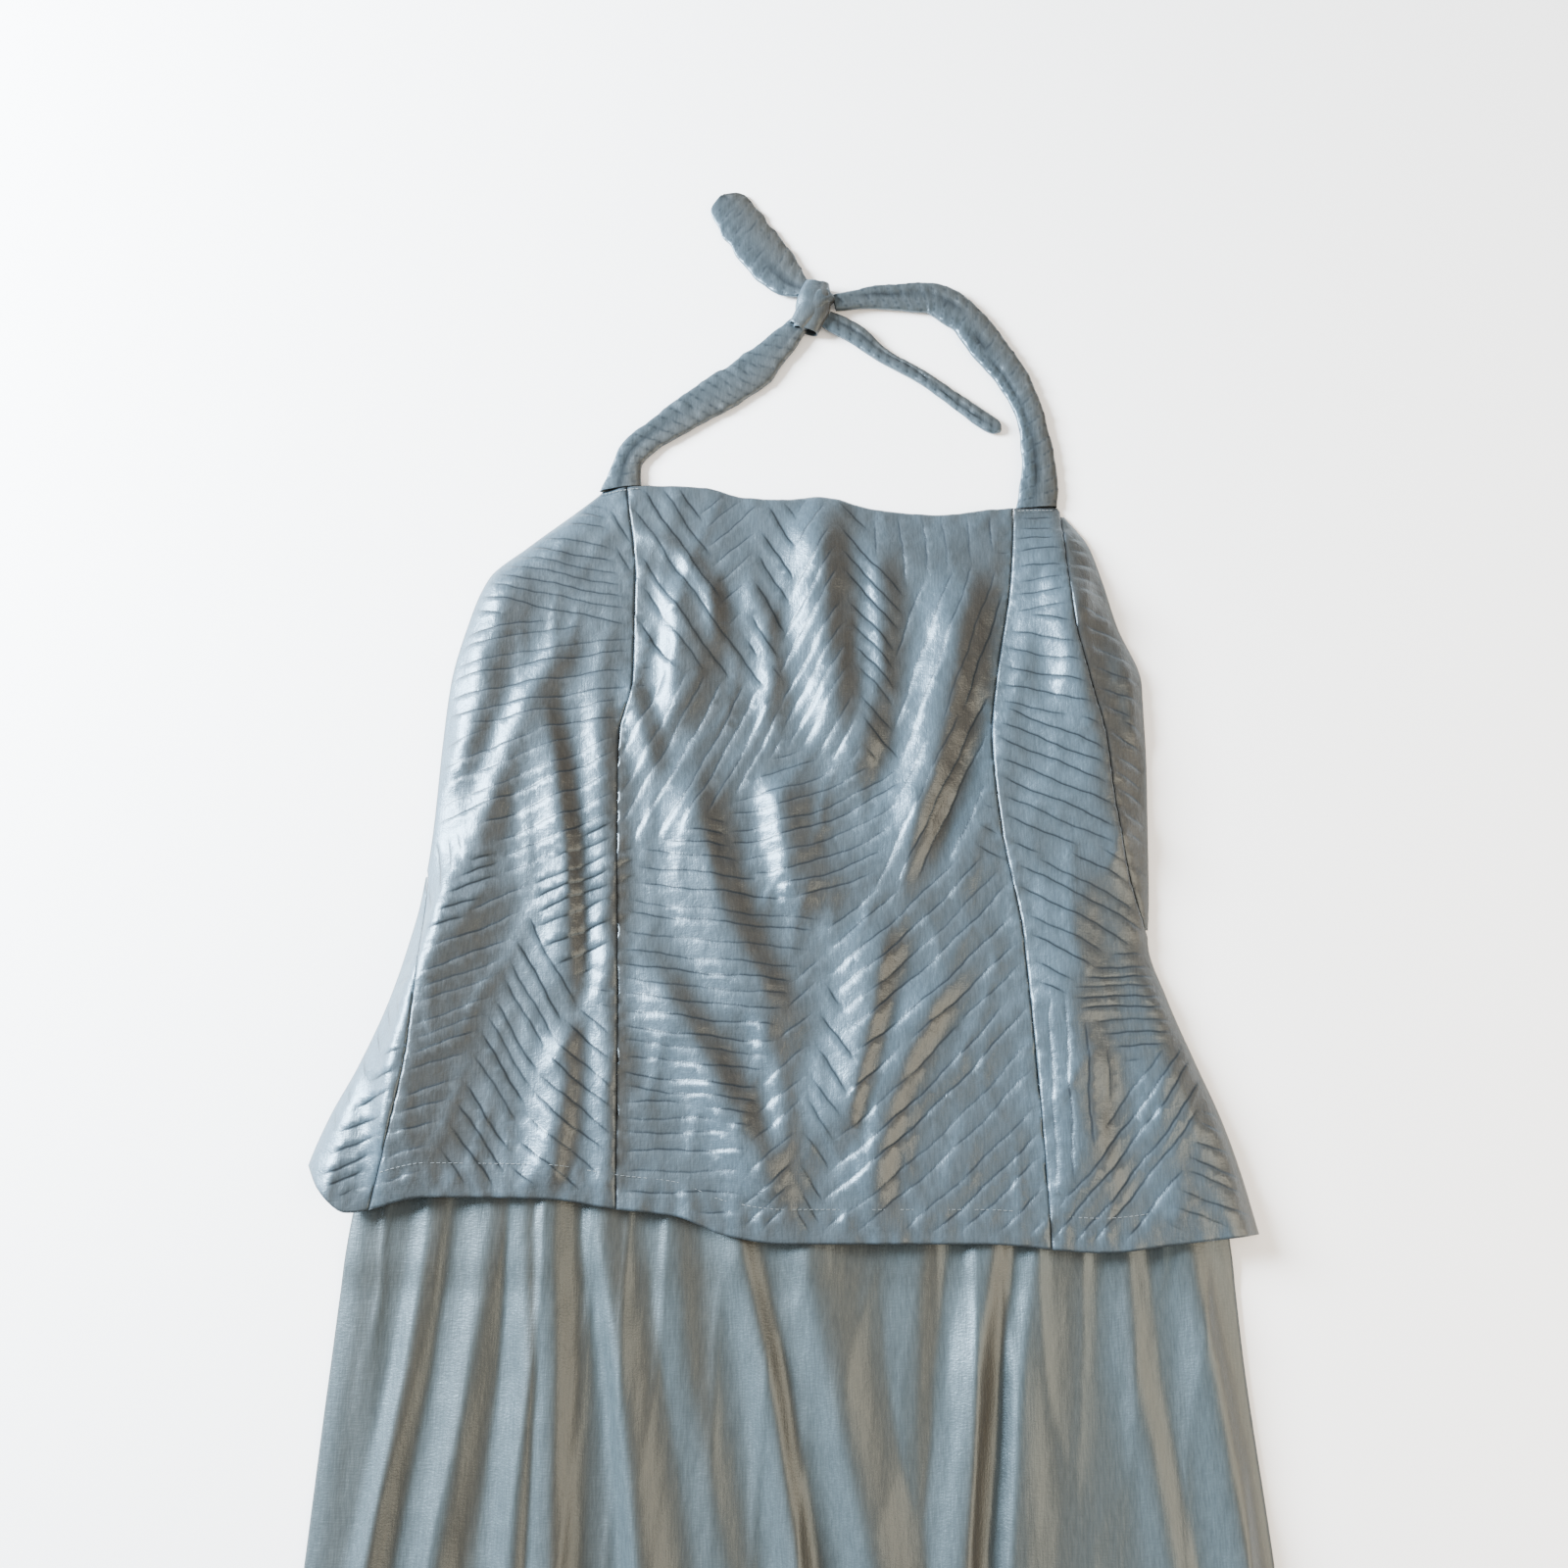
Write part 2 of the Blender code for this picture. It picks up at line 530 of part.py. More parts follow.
def inside_polygon(points, outline, margin):
    """Which points lie inside the outline and at least margin from it."""
    ring = np.array(outline)
    after = np.roll(ring, -1, axis=0)
    kept = []
    for p in points:
        straddles = (ring[:, 1] > p[1]) != (after[:, 1] > p[1])
        rise = np.where(after[:, 1] == ring[:, 1], 1e-12, after[:, 1] - ring[:, 1])
        cross = ring[:, 0] + (p[1] - ring[:, 1]) * (after[:, 0] - ring[:, 0]) / rise
        edge = after - ring
        t = np.clip(((p - ring) * edge).sum(1) / np.maximum((edge**2).sum(1), 1e-12), 0, 1)
        gap = np.hypot(*(p - ring - edge * t[:, None]).T).min()
        kept.append(bool((straddles & (p[0] < cross)).sum() % 2) and gap > margin)
    return np.array(kept, bool)


def filling_points(outline, spacing, margin):
    """A staggered grid of points inside an outline."""
    ring = np.array(outline)
    low, high = ring.min(0), ring.max(0)
    rows = np.arange(low[1] + spacing / 2, high[1], spacing * 0.866)
    grid = [
        (x + (spacing / 2 if i % 2 else 0.0), y)
        for i, y in enumerate(rows)
        for x in np.arange(low[0], high[0], spacing)
    ]
    grid = np.array(grid).reshape(-1, 2)
    return grid[inside_polygon(grid, outline, margin)] if len(grid) else grid


def rim_points(outline, step):
    """Rows of points just inside the garment's side edges, where the cloth rolls over."""
    rows = []
    for inset in RIM_ROWS:
        for edge in (moved_in(body_left, inset), moved_in(body_right, -inset)):
            rows += [(float(edge(y)), y) for y in np.arange(-0.285, 0.205, step)]
    rows = np.array(rows)
    return rows[inside_polygon(rows, outline, 0.0016)]


def triangulate(outline, points, edges):
    """Triangles inside the outline that keep every point and edge given."""
    count = len(outline)
    coords = [Vector(p) for p in outline] + [Vector(p) for p in points]
    kept = [(i, (i + 1) % count) for i in range(count)] + [(a + count, b + count) for a, b in edges]
    found, _, faces, origins, _, _ = delaunay_2d_cdt(coords, kept, [], 0, 1e-7, True)
    where = {}
    for i, sources in enumerate(origins):
        for source in sources:
            where[source] = i
    flat = np.array([(v.x, v.y) for v in found])
    middles = np.array([flat[list(f)].mean(0) for f in faces])
    inside = inside_polygon(middles, outline, 0.0)
    return flat, [tuple(f) for f, fits in zip(faces, inside) if fits], where


def tuck_points(outline):
    """Points, edges and heights of the tucks that cross one panel: a crest line and a foot line each."""
    points, heights, edges = [], [], []
    for line in TUCKS:
        line = np.array(line)
        inside = inside_polygon(line, outline, 0.0026)
        runs, run = [], []
        for point, fits in zip(line, inside):
            if fits:
                run.append(point)
            elif run:
                runs.append(run)
                run = []
        runs.append(run)
        for run in runs:
            if len(run) < 2:
                continue
            run = np.array(run)
            ahead = np.gradient(run, axis=0)
            ahead /= np.hypot(*ahead.T)[:, None]
            foot = run + TUCK_STEP * np.stack([ahead[:, 1], -ahead[:, 0]], 1)
            for row, height in ((run, TUCK_HEIGHT), (foot, 0.0)):
                first = len(points)
                points.extend(row)
                ends = np.minimum(np.arange(len(row)), np.arange(len(row))[::-1])
                heights.extend(height * np.where(ends == 0, 0.4, 1.0))
                edges.extend((first + i, first + i + 1) for i in range(len(row) - 1))
    return np.array(points).reshape(-1, 2), edges, np.array(heights)


def wall_between(outline, top_faces, bottom_faces, top_ring, bottom_ring, tops, bottoms):
    """One closed wall from an upper sheet, a lower sheet and the strip that joins their outlines."""
    vertices = np.vstack([tops, bottoms])
    shift = len(tops)
    faces = list(top_faces) + [tuple(i + shift for i in reversed(f)) for f in bottom_faces]
    for i in range(len(outline)):
        j = (i + 1) % len(outline)
        faces.append((bottom_ring[i] + shift, bottom_ring[j] + shift, top_ring[j], top_ring[i]))
    return vertices, faces


def clear_of(tops, faces, plain, under):
    """Heights of the inner face, lowered where the flat facets of the outer face come too near."""
    sheet = BVHTree.FromPolygons([tuple(v) for v in tops], faces)
    rest = bodice_rest(plain[:, 0], plain[:, 1])
    cleared = under.copy()
    for i, (x, y) in enumerate(plain):
        hit = sheet.ray_cast(Vector((x, y, 1.0)), Vector((0.0, 0.0, -1.0)))[0]
        if hit is not None:
            cleared[i] = max(min(under[i], hit.z - CLOTH * 0.85), rest[i])
    return cleared


def make_panel(name, outline, top, inside, colour, spacing, tucked=True):
    """A cloth wall over an outline, its outer face tucked and its inner face plain."""
    tucks, edges, heights = tuck_points(outline) if tucked else (np.zeros((0, 2)), [], np.zeros(0))
    fill = filling_points(outline, spacing, spacing * 0.45)
    rims = rim_points(outline, 0.011) if tucked else np.zeros((0, 2))
    if len(rims) and len(fill):
        gaps = np.array([np.hypot(*(rims - p).T).min() for p in fill])
        fill = fill[gaps > spacing * 0.42]
    fill = np.vstack([rims, fill])
    if len(tucks):
        gaps = np.array([np.hypot(*(tucks - p).T).min() for p in fill])
        upper_fill = fill[gaps > spacing * 0.42]
    else:
        upper_fill = fill
    upper = np.vstack([tucks, upper_fill])
    lifted = np.concatenate([heights, np.zeros(len(upper_fill))])
    flat, faces, where = triangulate(outline, upper, edges)
    raised = np.zeros(len(flat))
    for i, height in enumerate(lifted):
        raised[where[i + len(outline)]] = height
    tops = np.column_stack([flat, top(flat[:, 0], flat[:, 1]) + raised])
    plain, under_faces, under_where = triangulate(outline, fill, [])
    under = inside(plain[:, 0], plain[:, 1])
    if tucked:
        under = clear_of(tops, faces, plain, under)
    bottoms = np.column_stack([plain, under])
    ring = [where[i] for i in range(len(outline))]
    under_ring = [under_where[i] for i in range(len(outline))]
    vertices, faces = wall_between(outline, faces, under_faces, ring, under_ring, tops, bottoms)
    return make_object(name, vertices, faces, colour)


def make_object(name, vertices, faces, colour):
    """A named object in the row frame with its own silk material."""
    mesh = bpy.data.meshes.new(name)
    mesh.from_pydata([tuple(v) for v in vertices], [], faces)
    mesh.validate()
    mesh.update()
    mesh.shade_smooth()
    mesh.set_sharp_from_angle(angle=math.radians(50))
    material = bpy.data.materials.new(name + "_silk")
    material.use_nodes = True
    shader = material.node_tree.nodes["Principled BSDF"]
    shader.inputs["Base Color"].default_value = colour
    shader.inputs["Roughness"].default_value = 0.38
    shader.inputs["Metallic"].default_value = 0.0
    mesh.materials.append(material)
    thing = bpy.data.objects.new(name, mesh)
    thing.location = ROW_SHIFT
    bpy.context.scene.collection.objects.link(thing)
    return thing


def grid_wall(name, stations, columns, top, inside, colour):
    """A wall over rows of points: columns(y) gives the places across at each station."""
    rows = [[(x, y) for x in columns(y)] for y in stations]
    wide, tall = len(rows[0]), len(rows)
    flat = np.array([p for row in rows for p in row])
    tops = np.column_stack([flat, top(flat[:, 0], flat[:, 1])])
    bottoms = np.column_stack([flat, inside(flat[:, 0], flat[:, 1])])
    shift = len(flat)
    faces = []
    for r in range(tall - 1):
        for c in range(wide - 1):
            a, b = r * wide + c, r * wide + c + 1
            d, e = a + wide, b + wide
            faces.append((a, d, e, b))
            faces.append((a + shift, b + shift, e + shift, d + shift))
    ring = [c for c in range(wide)]
    ring += [r * wide + wide - 1 for r in range(1, tall)]
    ring += [(tall - 1) * wide + c for c in range(wide - 2, -1, -1)]
    ring += [r * wide for r in range(tall - 2, 0, -1)]
    for i, a in enumerate(ring):
        b = ring[(i + 1) % len(ring)]
        faces.append((a, b, b + shift, a + shift))
    return make_object(name, *facing_out(np.vstack([tops, bottoms]), faces), colour)


def skirt_columns(y):
    """Places across the skirt: close together at the rolled edges and on each fold, following the crests."""
    left, right = float(skirt_left(y)), float(skirt_right(y))
    rim = np.array([0.0, 0.0015, 0.0033, 0.0065, 0.0105])
    reference = SKIRT_FOLD_ROWS[1]
    crests = fold_centres(reference)
    far_left, far_right = float(skirt_left(reference)), float(skirt_right(reference))
    wanted = {round(far_left + 0.0160, 4), round(far_right - 0.0160, 4)}
    for crest, fold in zip(crests, SKIRT_FOLDS):
        wanted.update(round(crest - share * fold[7], 4) for share in (1.5, 0.75, 0.0))
        wanted.update(round(crest + share * fold[8], 4) for share in (0.75, 1.5))
    places, last = [], far_left + 0.0105
    for place in sorted(wanted):
        if place - last > 0.0055 and place < far_right - 0.0140:
            places.append(place)
            last = place
    known = [far_left, *crests, far_right]
    here = [left, *fold_centres(y), right]
    middle = np.interp(places, known, here)
    middle = np.clip(middle, left + 0.0125, right - 0.0125)
    middle = middle + np.linspace(-1e-5, 1e-5, len(middle))
    return np.concatenate([left + rim, middle, (right - rim)[::-1]])


def ribbon_rings(table, sides, samples):
    """Rings of a flat band with soft edges that follows a table of sections."""
    rows = np.array(table, float)
    steps = np.concatenate([[0.0], np.cumsum(np.hypot(*np.diff(rows[:, :2], axis=0).T))])
    t = np.linspace(0, steps[-1], samples)
    keyed = [[(s, *row) for s, row in zip(steps, rows)]][0]
    read = [curve_through(keyed, column) for column in range(1, 7)]
    x, y, under, thick, width, lift = (f(t) for f in read)
    ahead = np.gradient(np.stack([x, y], 1), axis=0)
    ahead /= np.hypot(*ahead.T)[:, None]
    beside = np.stack([-ahead[:, 1], ahead[:, 0]], 1)
    rings = []
    for i in range(samples):
        ring = []
        for k in range(sides):
            angle = 2 * math.pi * (k + 0.5) / sides
            reach = math.copysign(abs(math.cos(angle)) ** 0.6, math.cos(angle))
            rise = math.copysign(abs(math.sin(angle)) ** 0.8, math.sin(angle))
            place = np.array([x[i], y[i]]) + beside[i] * reach * width[i] / 2
            height = under[i] + thick[i] * (0.5 + 0.5 * rise) + max(rise, 0) * lift[i] * reach**2
            ring.append((*place, height))
        rings.append(ring)
    return rings


def ribbon_mesh(table, sides=10, samples=13):
    """Vertices and faces of a closed ribbon."""
    rings = ribbon_rings(table, sides, samples)
    vertices = [p for ring in rings for p in ring]
    faces = []
    for r in range(len(rings) - 1):
        for k in range(sides):
            a, b = r * sides + k, r * sides + (k + 1) % sides
            faces.append((a, b, b + sides, a + sides))
    faces.append(tuple(range(sides))[::-1])
    last = (len(rings) - 1) * sides
    faces.append(tuple(last + k for k in range(sides)))
    return facing_out(np.array(vertices), faces)


def facing_out(vertices, faces):
    """The same faces, turned round if the shape they close is inside out."""
    volume = 0.0
    for face in faces:
        for i in range(1, len(face) - 1):
            a, b, c = vertices[face[0]], vertices[face[i]], vertices[face[i + 1]]
            volume += float(np.dot(a, np.cross(b, c)))
    return vertices, faces if volume > 0 else [tuple(reversed(f)) for f in faces]


def make_knot():
    """The tied knot: two crossing bands joined into one body."""
    bands = [
        make_object(name, *ribbon_mesh(band, 10, 8), SILK_BLUE)
        for name, band in zip(("knot", "knot_cross_band"), KNOT_BANDS)
    ]
    knot, crossing = bands
    joined = knot.modifiers.new("cross_band", "BOOLEAN")
    joined.operation = "UNION"
    joined.object = crossing
    view = bpy.context.evaluated_depsgraph_get()
    knot.data = bpy.data.meshes.new_from_object(knot.evaluated_get(view))
    knot.modifiers.remove(joined)
    bpy.data.objects.remove(crossing)


def make_backs():
    """Back of the bodice and back of the skirt, which lie flat under the fronts."""
    inset = RIM_IN
    low = meeting(body_left, peplum_edge, -0.27)
    low_right = meeting(body_right, peplum_edge, -0.27)
    left = side_points(moved_in(body_left, inset), low + 0.010, BACK_TOP_Y, 0.0, 0.020)
    right = side_points(moved_in(body_right, -inset), low_right + 0.010, BACK_TOP_Y, 0.0, 0.020)
    hem = [(x, y + 0.006) for x, y in level_points(peplum_edge, left[0][0], right[0][0], 0.030)]
    outline = hem + right + left[::-1]

    def top(x, y):
        return np.full(len(x), BACK_CLOTH)

    def under(x, y):
        return np.zeros(len(x))

    make_panel("bodice_back", outline, top, under, SILK_BROWN, 0.060, tucked=False)

    def columns(y):
        return np.linspace(float(moved_in(skirt_left, inset)(y)), float(moved_in(skirt_right, -inset)(y)), 6)

    stations = [y for y in SKIRT_STATIONS]
    stations[0] -= 0.002
    stations[-1] += 0.002
    grid_wall("skirt_back", stations[::-1], columns,
              lambda x, y: skirt_floor(y) + BACK_CLOTH, lambda x, y: skirt_floor(y), SILK_BROWN)


def front_outer_left(y):
    """Outer edge of the left side front: the garment's edge, then the side seam below its top."""
    return np.where(np.asarray(y) > LEFT_SIDE_SEAM[0][0], body_left(y), side_left(y))


def front_outer_right(y):
    """Outer edge of the right side front: the side seam, and the garment's edge below its foot."""
    y = np.asarray(y)
    on_seam = (y < RIGHT_SIDE_SEAM[0][0]) & (y > RIGHT_SIDE_SEAM[-1][0])
    return np.where(on_seam, side_right(y), body_right(y))


def make_fronts():
    """The five shown panels of the bodice."""
    half = 0.0002
    step = 0.0110
    panels = (
        ("centre_front", princess_left, princess_right, half, half),
        ("side_front_left", front_outer_left, princess_left, half, half),
        ("side_front_right", princess_right, front_outer_right, half, half),
    )
    for name, left, right, shift_left, shift_right in panels:
        outline = panel_outline(left, right, shift_left, shift_right, step)
        make_panel(name, outline, bodice_top, bodice_inside, SILK_BLUE, 0.0125)
    low = meeting(side_left, peplum_edge, -0.265)
    wrap = side_points(side_left, low, LEFT_SIDE_SEAM[0][0] - 0.005, -half, step)
    edge_low = meeting(body_left, peplum_edge, -0.245)
    edge = side_points(body_left, edge_low, LEFT_SIDE_SEAM[0][0] - 0.005, 0.0, step)
    hem = level_points(peplum_edge, edge[0][0], wrap[0][0], step)
    make_panel("side_back_left", hem + wrap + edge[::-1], bodice_top, bodice_inside, SILK_BLUE, 0.0125)
    outline = corner_outline(body_right, side_right, -0.0965, 0.187, 0.0, half, step, False)
    make_panel("side_back_right", outline, bodice_top, bodice_inside, SILK_BLUE, 0.0125)


def make_skirt():
    """The skirt front, with its long folds."""
    grid_wall("skirt_front", SKIRT_STATIONS[::-1], skirt_columns, skirt_top, skirt_inside, SILK_BLUE)


def make_tie():
    """The two straps, their loose ends and the knot."""
    for name, table, knot_reach in (
        ("strap_left", LEFT_STRAP, 1.07),
        ("strap_right", RIGHT_STRAP, 0.78),
        ("tie_end_left", LEFT_END, 0.91),
        ("tie_end_right", RIGHT_END, 0.81),
    ):
        vertices, faces = ribbon_mesh(table)
        sewn_on = np.array([neck_edge(x) + GAP + 0.0001 for x in vertices[:, 0]])
        vertices[:, 1] = np.maximum(vertices[:, 1], sewn_on)
        offset = (vertices[:, :2] - KNOT_CENTRE) / KNOT_REACH
        reach = np.hypot(*offset.T)
        inside = reach < knot_reach
        outward = offset[inside] * knot_reach / reach[inside, None]
        vertices[inside, :2] = KNOT_CENTRE + KNOT_REACH * outward
        make_object(name, vertices, faces, SILK_BLUE)
    make_knot()


for leftover in list(bpy.data.objects):
    bpy.data.objects.remove(leftover)
TUCKS = [line for index in range(len(LEAVES)) for line in rib_lines(index, 0.012)]
make_backs()
make_fronts()
make_skirt()
make_tie()
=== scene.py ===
"""The look of a shot-silk halter dress that lies flat, face up, on a pale floor.

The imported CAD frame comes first. Every piece of cloth is then made again as a thin
shell on its solid's form, with its tucks, creases, seams and stitches.
"""

import logging
import math
from collections.abc import Callable
from dataclasses import dataclass
from enum import Enum
from typing import NamedTuple

import bpy
import numpy as np
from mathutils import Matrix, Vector
from mathutils.geometry import delaunay_2d_cdt
from mathutils.kdtree import KDTree


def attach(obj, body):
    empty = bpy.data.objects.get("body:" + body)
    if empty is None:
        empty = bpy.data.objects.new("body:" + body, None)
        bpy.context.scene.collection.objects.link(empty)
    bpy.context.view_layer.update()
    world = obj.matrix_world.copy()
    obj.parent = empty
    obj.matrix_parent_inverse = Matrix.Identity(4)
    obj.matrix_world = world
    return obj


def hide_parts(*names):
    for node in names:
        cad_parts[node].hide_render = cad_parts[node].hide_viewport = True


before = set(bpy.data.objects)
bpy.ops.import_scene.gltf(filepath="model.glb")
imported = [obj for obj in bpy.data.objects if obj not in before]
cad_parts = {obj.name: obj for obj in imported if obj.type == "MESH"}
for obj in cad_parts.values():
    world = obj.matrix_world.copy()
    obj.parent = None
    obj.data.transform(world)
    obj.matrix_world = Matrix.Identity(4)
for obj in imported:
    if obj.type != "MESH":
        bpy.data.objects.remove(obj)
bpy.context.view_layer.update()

log = logging.getLogger("dress")

Points = np.ndarray
Faces = list[tuple[int, ...]]
Curve = Callable[[Points], Points]
Surface = Callable[[Points, Points], Points]


class Cloth(Enum):
    """The three ways this silk is worked, each with its own material."""

    TUCKED = "tucked_silk"
    PLAIN = "plain_silk"
    TIE = "tie_silk"


# Sizes


@dataclass(frozen=True)
class LayoutSizes:
    """Where the layout frame of the tables lies, and the camera in it."""

    hem_y: float = -0.830
    tie_top_y: float = 0.4438
    camera_distance: float = 1.03
    camera_tilt_deg: float = 15.0
    focal_px: float = 1618.0
    frame_px: float = 1600.0

    @property
    def shift(self) -> Vector:
        """Move from the layout frame to the row frame."""
        return Vector((0.0, -(self.hem_y + self.tie_top_y) / 2, 0.0))


@dataclass(frozen=True)
class ClothSizes:
    """Thicknesses and clearances, in metres."""

    shell: float = 0.0007
    wall: float = 0.0020
    back_wall: float = 0.0015
    skirt_wall: float = 0.0018
    gap: float = 0.0003
    clearance: float = 0.0012
    roll: float = 0.022
    skirt_roll: float = 0.014
    skirt_air: float = 0.0010
    rim_in: float = 0.0033
    back_shell: float = 0.0010
    seam_half: float = 0.0002


@dataclass(frozen=True)
class BodiceSizes:
    """Outline, seams and loft of the bodice in the layout frame."""

    waist_y: float = -0.085
    back_top_y: float = 0.112
    hem_turn: float = 0.020
    # the neckline's edge is thinner than the rest, over this much height
    neck_share: float = 0.72
    neck_band: float = 0.030
    # soft ridge beside the right side seam: where it starts and ends, height, half width
    ridge_low: float = -0.098
    ridge_high: float = 0.190
    ridge_height: float = 0.0060
    ridge_half: float = 0.016
    # height up the garment, left edge, right edge
    sides: tuple = (
        (0.2050, -0.124, 0.181),
        (0.1940, -0.137, 0.186),
        (0.1650, -0.173, 0.206),
        (0.1430, -0.198, 0.213),
        (0.1080, -0.211, 0.222),
        (0.0670, -0.220, 0.236),
        (0.0270, -0.223, 0.236),
        (-0.0330, -0.226, 0.234),
        (-0.0780, -0.231, 0.232),
        (-0.1050, -0.237, 0.230),
        (-0.1400, -0.247, 0.240),
        (-0.1820, -0.264, 0.256),
        (-0.2120, -0.279, 0.268),
        (-0.2410, -0.290, 0.277),
        (-0.2830, -0.300, 0.287),
    )
    # across, up
    neckline: tuple = (
        (-0.140, 0.203),
        (-0.094, 0.209),
        (-0.054, 0.207),
        (-0.027, 0.200),
        (0.000, 0.198),
        (0.020, 0.200),
        (0.067, 0.190),
        (0.107, 0.187),
        (0.140, 0.191),
        (0.190, 0.194),
    )
    # across, up
    hem: tuple = (
        (-0.300, -0.228),
        (-0.290, -0.241),
        (-0.280, -0.255),
        (-0.261, -0.269),
        (-0.214, -0.260),
        (-0.143, -0.261),
        (-0.100, -0.267),
        (-0.065, -0.271),
        (-0.035, -0.282),
        (0.000, -0.287),
        (0.118, -0.287),
        (0.189, -0.292),
        (0.236, -0.287),
        (0.290, -0.281),
    )
    # height, left princess seam, right princess seam
    princess: tuple = (
        (0.208, -0.107, 0.157),
        (0.136, -0.099, 0.151),
        (0.066, -0.099, 0.139),
        (0.030, -0.107, 0.135),
        (-0.033, -0.106, 0.139),
        (-0.096, -0.104, 0.149),
        (-0.158, -0.102, 0.153),
        (-0.218, -0.101, 0.156),
        (-0.295, -0.100, 0.159),
    )
    # height, how far across the seam lies
    left_side_seam: tuple = (
        (-0.060, -0.2275),
        (-0.100, -0.2265),
        (-0.167, -0.2290),
        (-0.205, -0.2340),
        (-0.275, -0.2500),
    )
    # height, how far across the seam lies
    right_side_seam: tuple = (
        (0.190, 0.1875),
        (0.165, 0.1880),
        (0.115, 0.1900),
        (0.067, 0.1990),
        (0.026, 0.2080),
        (-0.010, 0.2110),
        (-0.064, 0.2190),
        (-0.098, 0.2290),
    )
    # height up the garment, loft above the floor
    loft: tuple = (
        (0.210, 0.0070),
        (0.150, 0.0090),
        (0.050, 0.0100),
        (-0.085, 0.0120),
        (-0.200, 0.0145),
        (-0.300, 0.0165),
    )
    # from x, y, to x, y, sideways bend, height, half width on the left, on the right
    folds: tuple = (
        (-0.183, 0.142, -0.213, -0.003, 0.004, 0.0037, 0.014, 0.012),
        (-0.145, 0.097, -0.200, -0.055, -0.005, 0.0050, 0.010, 0.012),
        (-0.205, -0.055, -0.237, -0.253, -0.012, 0.0112, 0.010, 0.038),
        (-0.156, 0.050, -0.132, -0.141, 0.006, 0.0075, 0.020, 0.007),
        (-0.134, -0.154, -0.141, -0.256, 0.003, 0.0063, 0.016, 0.009),
        (-0.121, 0.077, -0.106, -0.256, 0.002, 0.0046, 0.010, 0.010),
        (-0.102, 0.070, -0.083, 0.000, 0.001, 0.0037, 0.009, 0.008),
        (-0.062, 0.010, 0.000, -0.160, -0.010, 0.0094, 0.026, 0.013),
        (-0.072, 0.138, -0.071, 0.036, 0.002, 0.0075, 0.010, 0.024),
        (-0.105, 0.174, -0.044, 0.094, 0.019, 0.0037, 0.007, 0.007),
        (-0.021, 0.131, -0.011, 0.036, 0.007, 0.0037, 0.008, 0.008),
        (0.024, 0.192, 0.039, 0.016, -0.004, 0.0100, 0.018, 0.015),
        (-0.003, 0.000, 0.011, -0.086, -0.004, 0.0075, 0.010, 0.018),
        (0.062, 0.160, 0.043, -0.003, 0.011, 0.0050, 0.010, 0.012),
        (0.121, 0.138, 0.076, -0.061, 0.004, 0.0090, 0.020, 0.013),
        (0.150, 0.174, 0.093, -0.055, 0.014, -0.0034, 0.012, 0.011),
        (-0.090, -0.114, 0.000, -0.267, 0.003, 0.0088, 0.018, 0.012),
        (-0.017, -0.147, 0.000, -0.242, 0.006, 0.0037, 0.008, 0.009),
        (0.063, -0.095, 0.031, -0.230, 0.003, 0.0081, 0.022, 0.009),
        (0.103, -0.129, 0.054, -0.270, -0.012, 0.0063, 0.016, 0.010),
        (0.185, -0.055, 0.183, -0.270, -0.005, 0.0075, 0.022, 0.018),
        (0.196, 0.160, 0.186, -0.055, -0.001, 0.0050, 0.024, 0.018),
        (0.208, 0.125, 0.228, 0.023, 0.007, 0.0037, 0.010, 0.009),
        (0.228, -0.177, 0.237, -0.276, 0.002, 0.0031, 0.014, 0.012),
    )


@dataclass(frozen=True)
class SkirtSizes:
    """Outline and folds of the skirt in the layout frame."""

    top_y: float = -0.085
    hem_y: float = -0.830
    floor_ramp: tuple = (-0.316, -0.293)
    # height, left edge, right edge
    sides: tuple = (
        (-0.085, -0.203, 0.205),
        (-0.200, -0.239, 0.244),
        (-0.275, -0.261, 0.267),
        (-0.360, -0.268, 0.272),
        (-0.466, -0.275, 0.281),
        (-0.650, -0.288, 0.291),
        (-0.830, -0.300, 0.300),
    )
    fold_rows: tuple = (-0.279, -0.359, -0.463, -0.830)
    # crest at the four rows, height at the first three, half width left, right
    folds: tuple = (
        (-0.212, -0.222, -0.238, -0.262, 0.0040, 0.0050, 0.0050, 0.007, 0.009),
        (-0.175, -0.184, -0.198, -0.218, 0.0050, 0.0050, 0.0060, 0.014, 0.012),
        (-0.154, -0.149, -0.154, -0.168, 0.0070, 0.0080, 0.0070, 0.012, 0.012),
        (-0.139, -0.134, -0.133, -0.138, 0.0080, 0.0090, 0.0080, 0.020, 0.011),
        (-0.110, -0.096, -0.083, -0.078, 0.0060, 0.0080, 0.0080, 0.008, 0.016),
        (-0.066, -0.057, -0.033, -0.022, 0.0035, 0.0030, 0.0020, 0.012, 0.010),
        (-0.028, -0.009, 0.008, 0.018, 0.0060, 0.0070, 0.0070, 0.013, 0.007),
        (0.012, 0.027, 0.051, 0.062, 0.0070, 0.0080, 0.0080, 0.014, 0.022),
        (0.083, 0.077, 0.074, 0.084, 0.0050, 0.0030, 0.0005, 0.014, 0.009),
        (0.125, 0.113, 0.102, 0.106, 0.0070, 0.0090, 0.0070, 0.015, 0.009),
        (0.153, 0.141, 0.131, 0.138, 0.0055, 0.0055, 0.0040, 0.009, 0.024),
        (0.204, 0.205, 0.222, 0.236, 0.0030, 0.0040, 0.0030, 0.012, 0.010),
        (0.240, 0.251, 0.262, 0.272, 0.0060, 0.0080, 0.0070, 0.016, 0.009),
    )
    # height up the garment, share of a fold's height that shows
    swell: tuple = (
        (-0.085, 0.20),
        (-0.200, 0.50),
        (-0.285, 0.85),
        (-0.340, 1.10),
        (-0.500, 1.30),
        (-0.830, 1.30),
    )


